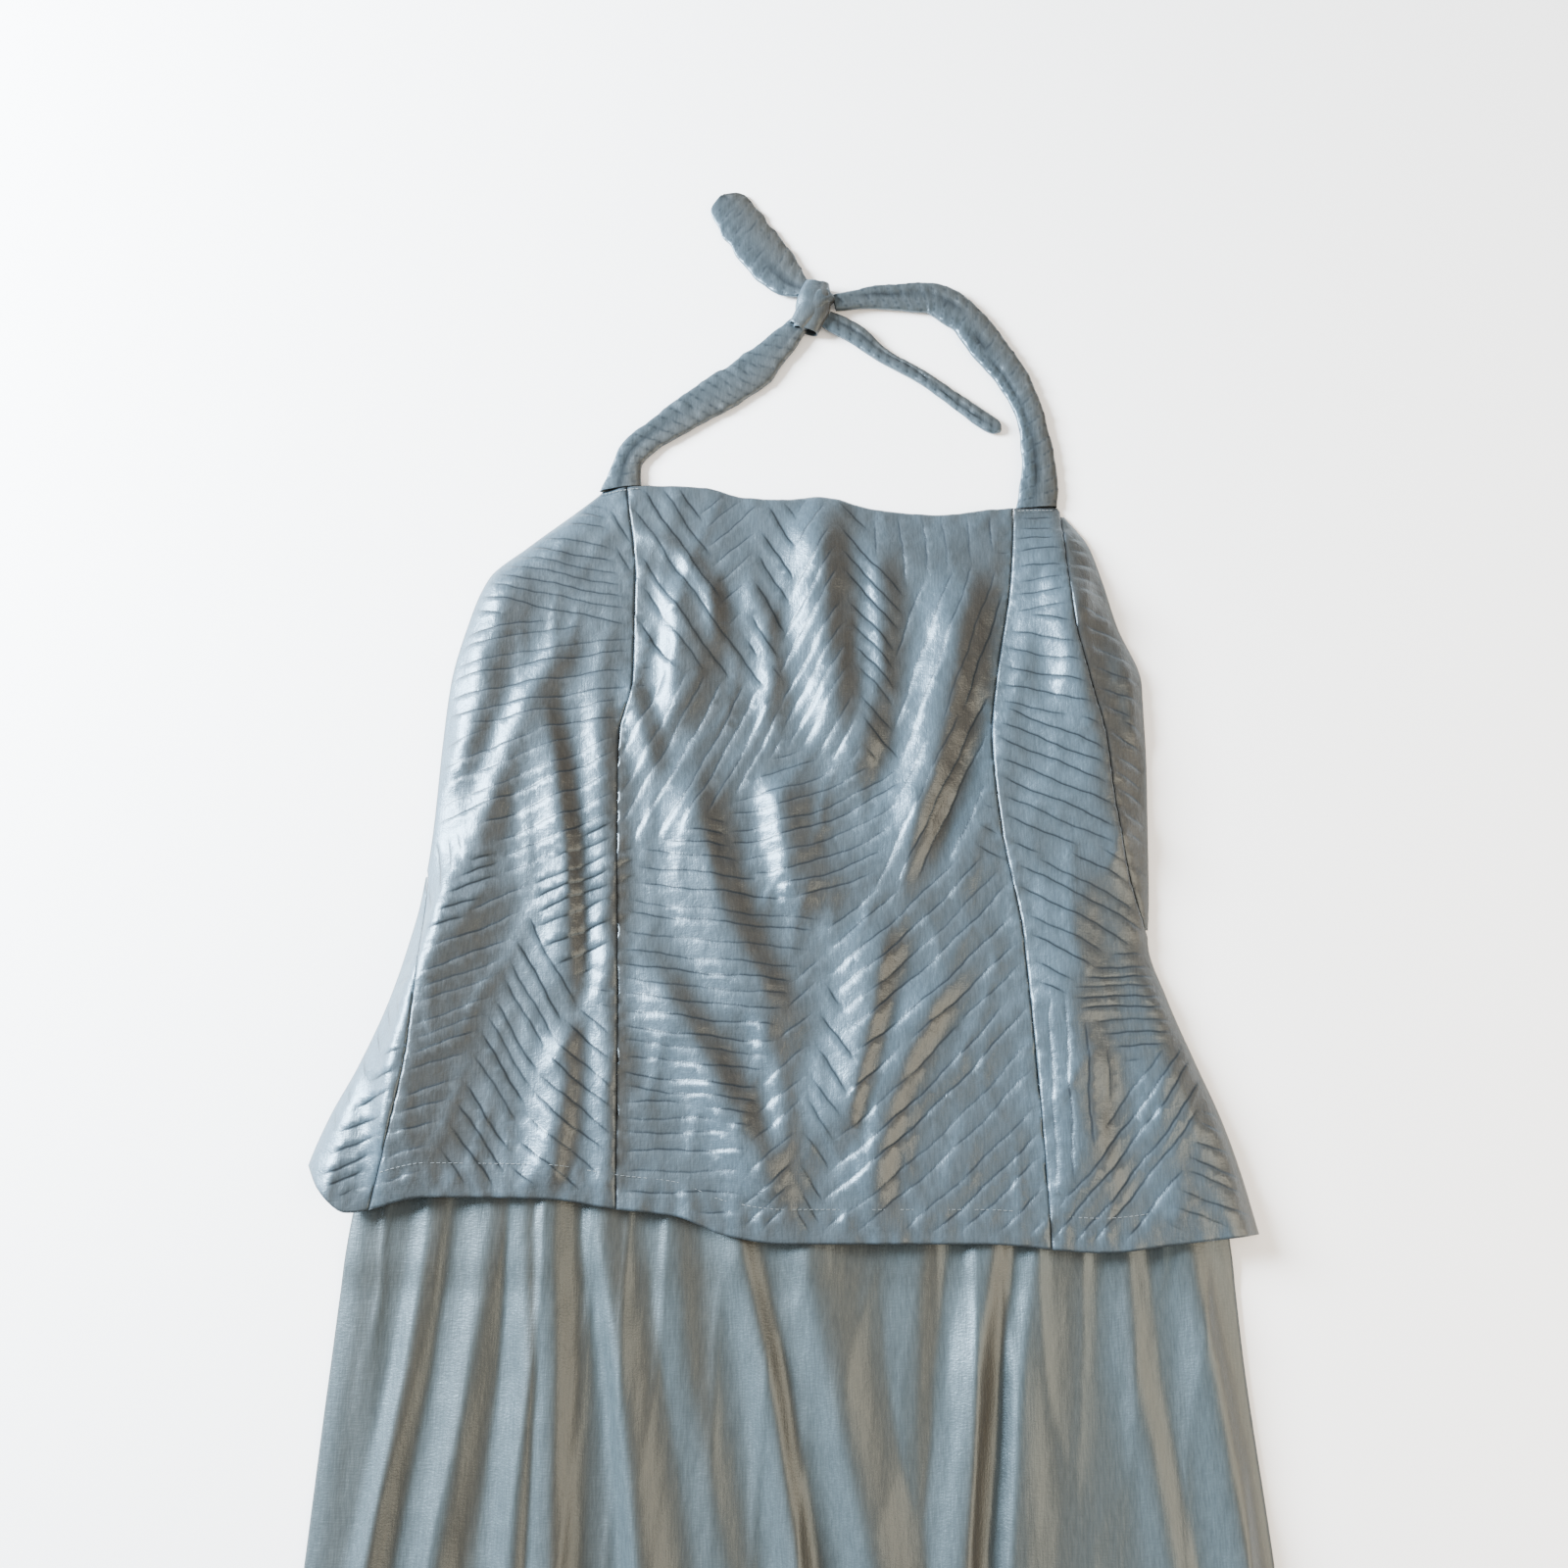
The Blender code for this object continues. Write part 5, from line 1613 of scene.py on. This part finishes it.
class Skirt:
    """The gathered front of the skirt and its flat back."""

    def __init__(self, maker: Dressmaker, form: DressForm) -> None:
        """Keep the tools."""
        self.maker, self.form = maker, form

    def _grid(self, across: int, up: int, inset: float) -> tuple[Points, Faces, list[int]]:
        """Lay a grid over the skirt.

        Args:
            across: Points in a row.
            up: Rows.
            inset: Distance kept from both side edges.

        Returns:
            Flat points, quads seen from above anticlockwise, and the edge ring.
        """
        sizes = self.form.skirt
        flat = []
        for y in np.linspace(sizes.hem_y, sizes.top_y, up):
            left, right = float(self.form.skirt_left(y)), float(self.form.skirt_right(y))
            wide = right - left - 2 * inset
            flat += [(left + inset + share * wide, y) for share in np.linspace(0, 1, across)]
        faces = []
        for r in range(up - 1):
            for c in range(across - 1):
                a = r * across + c
                faces.append((a, a + 1, a + 1 + across, a + across))
        ring = list(range(across))
        ring += [r * across + across - 1 for r in range(1, up)]
        ring += [(up - 1) * across + c for c in range(across - 2, -1, -1)]
        ring += [r * across for r in range(up - 2, 0, -1)]
        return np.array(flat), faces, ring

    def _surface(self, x: Points, y: Points) -> Points:
        """Give the skirt front with its small creases.

        Args:
            x: Places across.
            y: Heights up the garment.

        Returns:
            Heights above the floor.
        """
        form, sizes = self.form, WrinkleSizes()
        edge = np.minimum(x - form.skirt_left(y), form.skirt_right(y) - x)
        lines = sum(layer.at(x, y) for layer in sizes.skirt)
        return form.skirt_top(x, y) + lines * smoothstep(*sizes.skirt_band, edge)

    def build(self) -> list[bpy.types.Object]:
        """Make the skirt's pieces.

        Returns:
            The front and the back.
        """
        flat, faces, ring = self._grid(281, 150, 0.0)
        x, y = flat[:, 0], flat[:, 1]
        tops = self._surface(x, y)
        # painted light and shade by the skirt's slopes, as the shot silk's threads
        shot_and_light = shot_and_light_share(self.form.skirt_top, x, y)
        shell = close_shell(flat, tops, faces, ring, self.form.cloth.shell, shot_and_light, np.zeros(len(flat)))
        front = self.maker.piece("skirt_front_silk", shell, Cloth.PLAIN, "skirt_front")
        flat, faces, ring = self._grid(24, 60, self.form.cloth.rim_in)
        bed = self.form.skirt_floor(flat[:, 1])
        shell = self.maker.plain_back(flat, bed, faces, ring, self.form.cloth.back_shell)
        back = self.maker.piece("skirt_back_silk", shell, Cloth.PLAIN, "skirt_back")
        return [front, back]


class NeckTie:
    """Two straps, their loose ends and the knot."""

    def __init__(self, maker: Dressmaker, form: DressForm, sizes: TieSizes) -> None:
        """Keep the tools."""
        self.maker, self.form, self.sizes = maker, form, sizes

    def _ribbon(
        self, table: tuple, samples: int, sides: int, crease_and_shade: tuple, seed: int, tucks: float, tip: float
    ) -> Shell:
        """Loft a soft flattened tube with a lengthwise crease and small cross tucks, painted shade along the
        crease and at each tuck's foot, and painted light on the side of its top that faces the window lamp.

        Args:
            table: Sections along the band.
            samples: Rings.
            sides: Points round a ring.
            crease_and_shade: Where the lengthwise crease and its painted shade run, and how deep the crease
                is.
            seed: Picks the band's own unevenness.
            tucks: Height of the cross tucks.
            tip: How much of the end is rounded off and closed, in metres; 0 leaves it open.

        Returns:
            The band.
        """
        rows = np.array(table, float)
        steps = np.concatenate([[0.0], np.cumsum(np.hypot(*np.diff(rows[:, :2], axis=0).T))])
        keyed = [(s, *row) for s, row in zip(steps, rows)]
        t = np.linspace(0, steps[-1], samples)
        x, y, under, thick, width, lift = (curve_through(keyed, column)(t) for column in range(1, 7))
        ahead = np.gradient(np.stack([x, y], 1), axis=0)
        ahead /= np.hypot(*ahead.T)[:, None]
        beside = np.stack([-ahead[:, 1], ahead[:, 0]], 1)
        place_of, drop_of = curve_through(crease_and_shade, 1), curve_through(crease_and_shade, 2)
        width = width * (1 + 0.05 * ripple(t, t * 0, 0.018, seed))
        if tip > 0:
            left = np.clip((steps[-1] - t) / tip, 0.0, 1.0)
            width = width * np.sqrt(np.clip(1 - (1 - left) ** 2, 0.04, 1))
        angle = 2 * math.pi * (np.arange(sides) + 0.5) / sides
        reach = np.sign(np.cos(angle)) * np.abs(np.cos(angle)) ** self.sizes.full_across
        rise = np.sign(np.sin(angle)) * np.abs(np.sin(angle)) ** self.sizes.full_up
        upper = (rise > 0).astype(float)
        share = (t / steps[-1])[:, None]
        off = reach - place_of(share)
        line = np.exp(-((off / 0.10) ** 2))
        shelf = 0.5 * (off > 0) * np.exp(-((off / 0.5) ** 2))
        extra = lift[:, None] * np.maximum(rise, 0) * reach**2
        extra = extra - upper * drop_of(share) * (line + shelf)
        slanted = t[:, None] + 0.25 * reach * width[:, None]
        wander = 0.3 * np.sin(seed + t[:, None] * 60)
        wave = (slanted / self.sizes.tuck_pitch + wander) % 1.0
        extra = extra + upper * tucks * (wave - 0.5)
        # painted shade along the lengthwise crease and at the foot of each cross tuck
        shade = upper * 0.75 * line
        if tucks > 0:
            shade = np.maximum(shade, upper * 0.7 * np.exp(-(((wave - 0.03) / 0.07) ** 2)))
        layers = []
        for inset in (0.0, self.form.cloth.shell):
            half = width[:, None] / 2 - inset
            px = x[:, None] + beside[:, :1] * reach * half
            py = y[:, None] + beside[:, 1:] * reach * half
            pz = under[:, None] + inset + (thick[:, None] - 2 * inset) * (0.5 + 0.5 * rise) + extra
            pz = pz + upper * 0.00035 * ripple(px, py, 0.010, seed + 1)
            layers.append(np.stack([px, py, np.maximum(pz, inset)], 2).reshape(-1, 3))
        points = np.vstack(layers)
        # painted light and shade across the top: the side facing the window lamp gets the blue thread, the
        # other side the brown
        shot_and_light = np.tile((0.5 - 0.5 * reach * beside[:, :1] * upper).reshape(-1), 2)
        faces, inner = [], samples * sides
        for r in range(samples - 1):
            for k in range(sides):
                a, b = r * sides + k, r * sides + (k + 1) % sides
                faces.append((a, b, b + sides, a + sides))
                faces.append((a + inner + sides, b + inner + sides, b + inner, a + inner))
        last = (samples - 1) * sides
        for k in range(sides):
            a, b = k, (k + 1) % sides
            faces.append((b, a, a + inner, b + inner))
            if not tip:
                faces.append((a + last, b + last, b + last + inner, a + last + inner))
        if tip:
            faces.append(tuple(last + k for k in range(sides)))
            faces.append(tuple(last + inner + k for k in range(sides))[::-1])
        return Shell(points, self._outward(points, faces), shot_and_light, np.tile(shade.reshape(-1), 2))

    @staticmethod
    def _outward(points: Points, faces: Faces) -> Faces:
        """Turn the faces round if the band is inside out.

        Args:
            points: The band's points.
            faces: Its faces.

        Returns:
            Faces that point outward.
        """
        volume = 0.0
        for face in faces:
            for i in range(1, len(face) - 1):
                volume += float(np.dot(points[face[0]], np.cross(points[face[i]], points[face[i + 1]])))
        return faces if volume > 0 else [tuple(reversed(face)) for face in faces]

    def _sewn_on(self, shell: Shell) -> Shell:
        """Stop a strap at the neckline.

        Args:
            shell: The strap.

        Returns:
            The same shell, its foot on the neckline.
        """
        edge = self.form.neck(shell.points[:, 0]) + self.form.cloth.seam_half
        shell.points[:, 1] = np.maximum(shell.points[:, 1], edge)
        return shell

    @staticmethod
    def _together(shells: list[Shell]) -> Shell:
        """Put several shells into one.

        Args:
            shells: The shells.

        Returns:
            One shell.
        """
        faces, start = [], 0
        for shell in shells:
            faces += [tuple(i + start for i in face) for face in shell.faces]
            start += len(shell.points)
        return Shell(
            np.vstack([s.points for s in shells]),
            faces,
            np.concatenate([s.shot_and_light for s in shells]),
            np.concatenate([s.crease_and_shade for s in shells]),
        )

    def build(self) -> list[bpy.types.Object]:
        """Make the tie.

        Returns:
            Its pieces.
        """
        s = self.sizes
        wraps = [
            self._ribbon(band, 30, 36, s.knot_crease, 51 + i, 0.0, 0.0)
            for i, band in enumerate(s.knot_wraps)
        ]
        knot = self.maker.piece("knot_silk", self._together(wraps), Cloth.TIE, "knot")
        bands = (
            ("strap_left", s.left_strap, 110, s.left_crease, 31, 0.0006, 0.0, (0.056, 0.200), 0.0100),
            ("strap_right", s.right_strap, 150, s.right_crease, 32, 0.0008, 0.0, (0.056, 0.262), 0.0130),
            ("tie_end_left", s.left_end, 60, s.left_crease, 33, 0.0007, 0.008, (0.062, 0.100), 0.0058),
            ("tie_end_right", s.right_end, 80, s.right_crease, 34, 0.0004, 0.006, (0.030, 0.150), 0.0038),
        )
        made = []
        for node, table, samples, crease_and_shade, seed, tucks, tip, flat, area in bands:
            shell = self._sewn_on(self._ribbon(table, samples, 40, crease_and_shade, seed, tucks, tip))
            piece = self.maker.piece(f"{node}_silk", shell, Cloth.TIE, node)
            made.append(piece)
        return made + [knot]


@dataclass(frozen=True)
class StitchSizes:
    """Where the stitches lie and how large they are, in metres."""

    hem_from: float = -0.240
    hem_to: float = 0.268
    hem_lift: float = 0.0011
    hem_pitch: float = 0.0034
    hem_thread: float = 0.00016
    feet: tuple = ((-0.124, -0.098), (0.159, 0.183))
    foot_drop: float = 0.0028
    foot_lift: float = 0.0012
    foot_pitch: float = 0.0026
    foot_thread: float = 0.00022
    stitch_share: float = 0.62


class Sewing:
    """Stitches, made by a node tree along lines on the cloth."""

    sizes = StitchSizes()

    def __init__(self, maker: Dressmaker, form: DressForm) -> None:
        """Keep the tools."""
        self.maker, self.form = maker, form
        self.tree, self.pitch_id, self.thread_id = self._tree()

    def _tree(self) -> tuple[bpy.types.NodeTree, str, str]:
        """Build the stitch tree: a short rounded thread at each step of a line.

        Returns:
            The tree, and the identifiers of its pitch and thread inputs.
        """
        tree = bpy.data.node_groups.new("stitch_row", "GeometryNodeTree")
        face = tree.interface
        face.new_socket("Geometry", in_out="INPUT", socket_type="NodeSocketGeometry")
        pitch = face.new_socket("Pitch", in_out="INPUT", socket_type="NodeSocketFloat")
        thread = face.new_socket("Thread", in_out="INPUT", socket_type="NodeSocketFloat")
        face.new_socket("Geometry", in_out="OUTPUT", socket_type="NodeSocketGeometry")
        nodes = Nodes(tree)
        start, end = nodes.add("NodeGroupInput"), nodes.add("NodeGroupOutput")
        spaced = nodes.add("GeometryNodeResampleCurve", mode="LENGTH")
        nodes.join(start.outputs["Geometry"], spaced.inputs["Curve"])
        nodes.join(start.outputs["Pitch"], spaced.inputs["Length"])
        stitch = nodes.add("GeometryNodeMeshCylinder", in_Vertices=6)
        nodes.join(start.outputs["Thread"], stitch.inputs["Radius"])
        run = nodes.add("ShaderNodeMath", operation="MULTIPLY")
        run.inputs[1].default_value = self.sizes.stitch_share
        nodes.join(start.outputs["Pitch"], run.inputs[0])
        nodes.join(run.outputs[0], stitch.inputs["Depth"])
        along = nodes.add("GeometryNodeInputTangent")
        turn = nodes.add("FunctionNodeAlignRotationToVector", axis="Z")
        nodes.join(along.outputs["Tangent"], turn.inputs["Vector"])
        placed = nodes.add("GeometryNodeInstanceOnPoints")
        nodes.join(spaced.outputs["Curve"], placed.inputs["Points"])
        nodes.join(stitch.outputs["Mesh"], placed.inputs["Instance"])
        nodes.join(turn.outputs["Rotation"], placed.inputs["Rotation"])
        real = nodes.add("GeometryNodeRealizeInstances")
        nodes.join(placed.outputs["Instances"], real.inputs["Geometry"])
        painted = nodes.add("GeometryNodeSetMaterial")
        painted.inputs["Material"].default_value = self.maker.silks.thread
        nodes.join(real.outputs["Geometry"], painted.inputs["Geometry"])
        nodes.join(painted.outputs["Geometry"], end.inputs["Geometry"])
        return tree, pitch.identifier, thread.identifier

    def row(self, name: str, lines: list[Points], pitch: float, thread: float) -> bpy.types.Object:
        """Sew along some lines.

        Args:
            name: The piece's name.
            lines: Points on the cloth, in the layout frame.
            pitch: Length of a stitch.
            thread: Radius of the thread.

        Returns:
            The stitches as one mesh.
        """
        curve = bpy.data.curves.new(name, "CURVE")
        curve.dimensions = "3D"
        shift = np.array(self.maker.layout.shift)
        for line in lines:
            spline = curve.splines.new("POLY")
            spline.points.add(len(line) - 1)
            for point, place in zip(spline.points, line + shift):
                point.co = (*place, 1.0)
        path = bpy.data.objects.new(name + "_path", curve)
        bpy.context.scene.collection.objects.link(path)
        modifier = path.modifiers.new("stitches", "NODES")
        modifier.node_group = self.tree
        modifier[self.pitch_id] = pitch
        modifier[self.thread_id] = thread
        view = bpy.context.evaluated_depsgraph_get()
        mesh = bpy.data.meshes.new_from_object(path.evaluated_get(view))
        mesh.name = name
        bpy.data.objects.remove(path)
        made = bpy.data.objects.new(name, mesh)
        bpy.context.scene.collection.objects.link(made)
        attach(made, "root")
        log.info("%s: %d faces", name, len(mesh.polygons))
        return made

    def build(self) -> None:
        """Sew the peplum's hem line and the feet of the straps."""
        form, sizes = self.form, self.sizes
        x = np.arange(sizes.hem_from, sizes.hem_to, 0.003)
        y = form.hem(x) + form.bodice.hem_turn
        hem = np.stack([x, y, form.bodice_top(x, y) + sizes.hem_lift], 1)
        feet = []
        for left, right in sizes.feet:
            x = np.arange(left, right, 0.002)
            y = form.neck(x) - sizes.foot_drop
            feet.append(np.stack([x, y, form.bodice_top(x, y) + sizes.foot_lift], 1))
        self.row("hem_stitches", [hem], sizes.hem_pitch, sizes.hem_thread)
        self.row("strap_stitches", feet, sizes.foot_pitch, sizes.foot_thread)


# Studio


@dataclass(frozen=True)
class Lamp:
    """A soft light: where it stands, how large, how strong and what tint."""

    name: str
    place: tuple[float, float, float]
    size: float
    power: float
    tint: tuple[float, float, float]


@dataclass
class Studio:
    """Camera, floor and light."""

    layout: LayoutSizes
    lamps: tuple[Lamp, ...] = (
        Lamp("window", (-1.70, 0.60, 0.85), 0.80, 420.0, (0.84, 0.92, 1.0)),
        Lamp("room", (1.40, -0.50, 0.90), 1.20, 40.0, (1.0, 0.80, 0.58)),
    )
    air: tuple[float, float, float] = (1.0, 0.97, 0.93)
    air_strength: float = 1.10
    sensor: float = 36.0
    floor_half: float = 3.0
    floor_drop: float = 0.0003
    floor_colour: tuple[float, float, float] = (0.97, 0.97, 0.965)

    def build(self) -> None:
        """Set up the camera, the floor and the lights."""
        self._camera()
        self._floor()
        for lamp in self.lamps:
            self._light(lamp)
        world = bpy.data.worlds.new("soft_air")
        world.use_nodes = True
        back = world.node_tree.nodes["Background"]
        back.inputs["Color"].default_value = (*self.air, 1.0)
        back.inputs["Strength"].default_value = self.air_strength
        bpy.context.scene.world = world

    def _camera(self) -> None:
        """Stand the camera where the photograph was taken from."""
        data = bpy.data.cameras.new("camera")
        data.sensor_width = self.sensor
        data.lens = self.sensor * self.layout.focal_px / self.layout.frame_px
        camera = bpy.data.objects.new("camera", data)
        tilt = math.radians(self.layout.camera_tilt_deg)
        reach = self.layout.camera_distance
        camera.location = Vector((0.0, -reach * math.sin(tilt), reach * math.cos(tilt))) + self.layout.shift
        camera.rotation_euler = (tilt, 0.0, 0.0)
        bpy.context.scene.collection.objects.link(camera)
        bpy.context.scene.camera = camera

    def _floor(self) -> None:
        """Lay a plain pale floor."""
        half = self.floor_half
        mesh = bpy.data.meshes.new("floor")
        corners = [(-half, -half, 0.0), (half, -half, 0.0), (half, half, 0.0), (-half, half, 0.0)]
        mesh.from_pydata(corners, [], [(0, 1, 2, 3)])
        material = bpy.data.materials.new("pale_floor")
        material.use_nodes = True
        shader = material.node_tree.nodes["Principled BSDF"]
        shader.inputs["Base Color"].default_value = (*self.floor_colour, 1.0)
        shader.inputs["Roughness"].default_value = 0.6
        mesh.materials.append(material)
        floor = bpy.data.objects.new("floor", mesh)
        floor.location = (0.0, 0.0, -self.floor_drop)
        bpy.context.scene.collection.objects.link(floor)

    def _light(self, lamp: Lamp) -> None:
        """Stand one soft light, aimed at the bodice.

        Args:
            lamp: Its place, size, power and tint.
        """
        data = bpy.data.lights.new(lamp.name, "AREA")
        data.size = lamp.size
        data.energy = lamp.power
        data.color = lamp.tint
        light = bpy.data.objects.new(lamp.name, data)
        light.location = Vector(lamp.place) + self.layout.shift
        aim = self.layout.shift - light.location
        light.rotation_euler = aim.to_track_quat("-Z", "Y").to_euler()
        bpy.context.scene.collection.objects.link(light)


def main() -> None:
    """Build the dress and its studio."""
    logging.basicConfig(level=logging.INFO)
    layout = LayoutSizes()
    form = DressForm(BodiceSizes(), SkirtSizes(), ClothSizes())
    Studio(layout).build()
    maker = Dressmaker(layout, Silks())
    Skirt(maker, form).build()
    Bodice(maker, form, LeafTucks(TuckSizes(), form)).build()
    NeckTie(maker, form, TieSizes()).build()
    Sewing(maker, form).build()


if __name__ == "__main__":
    main()
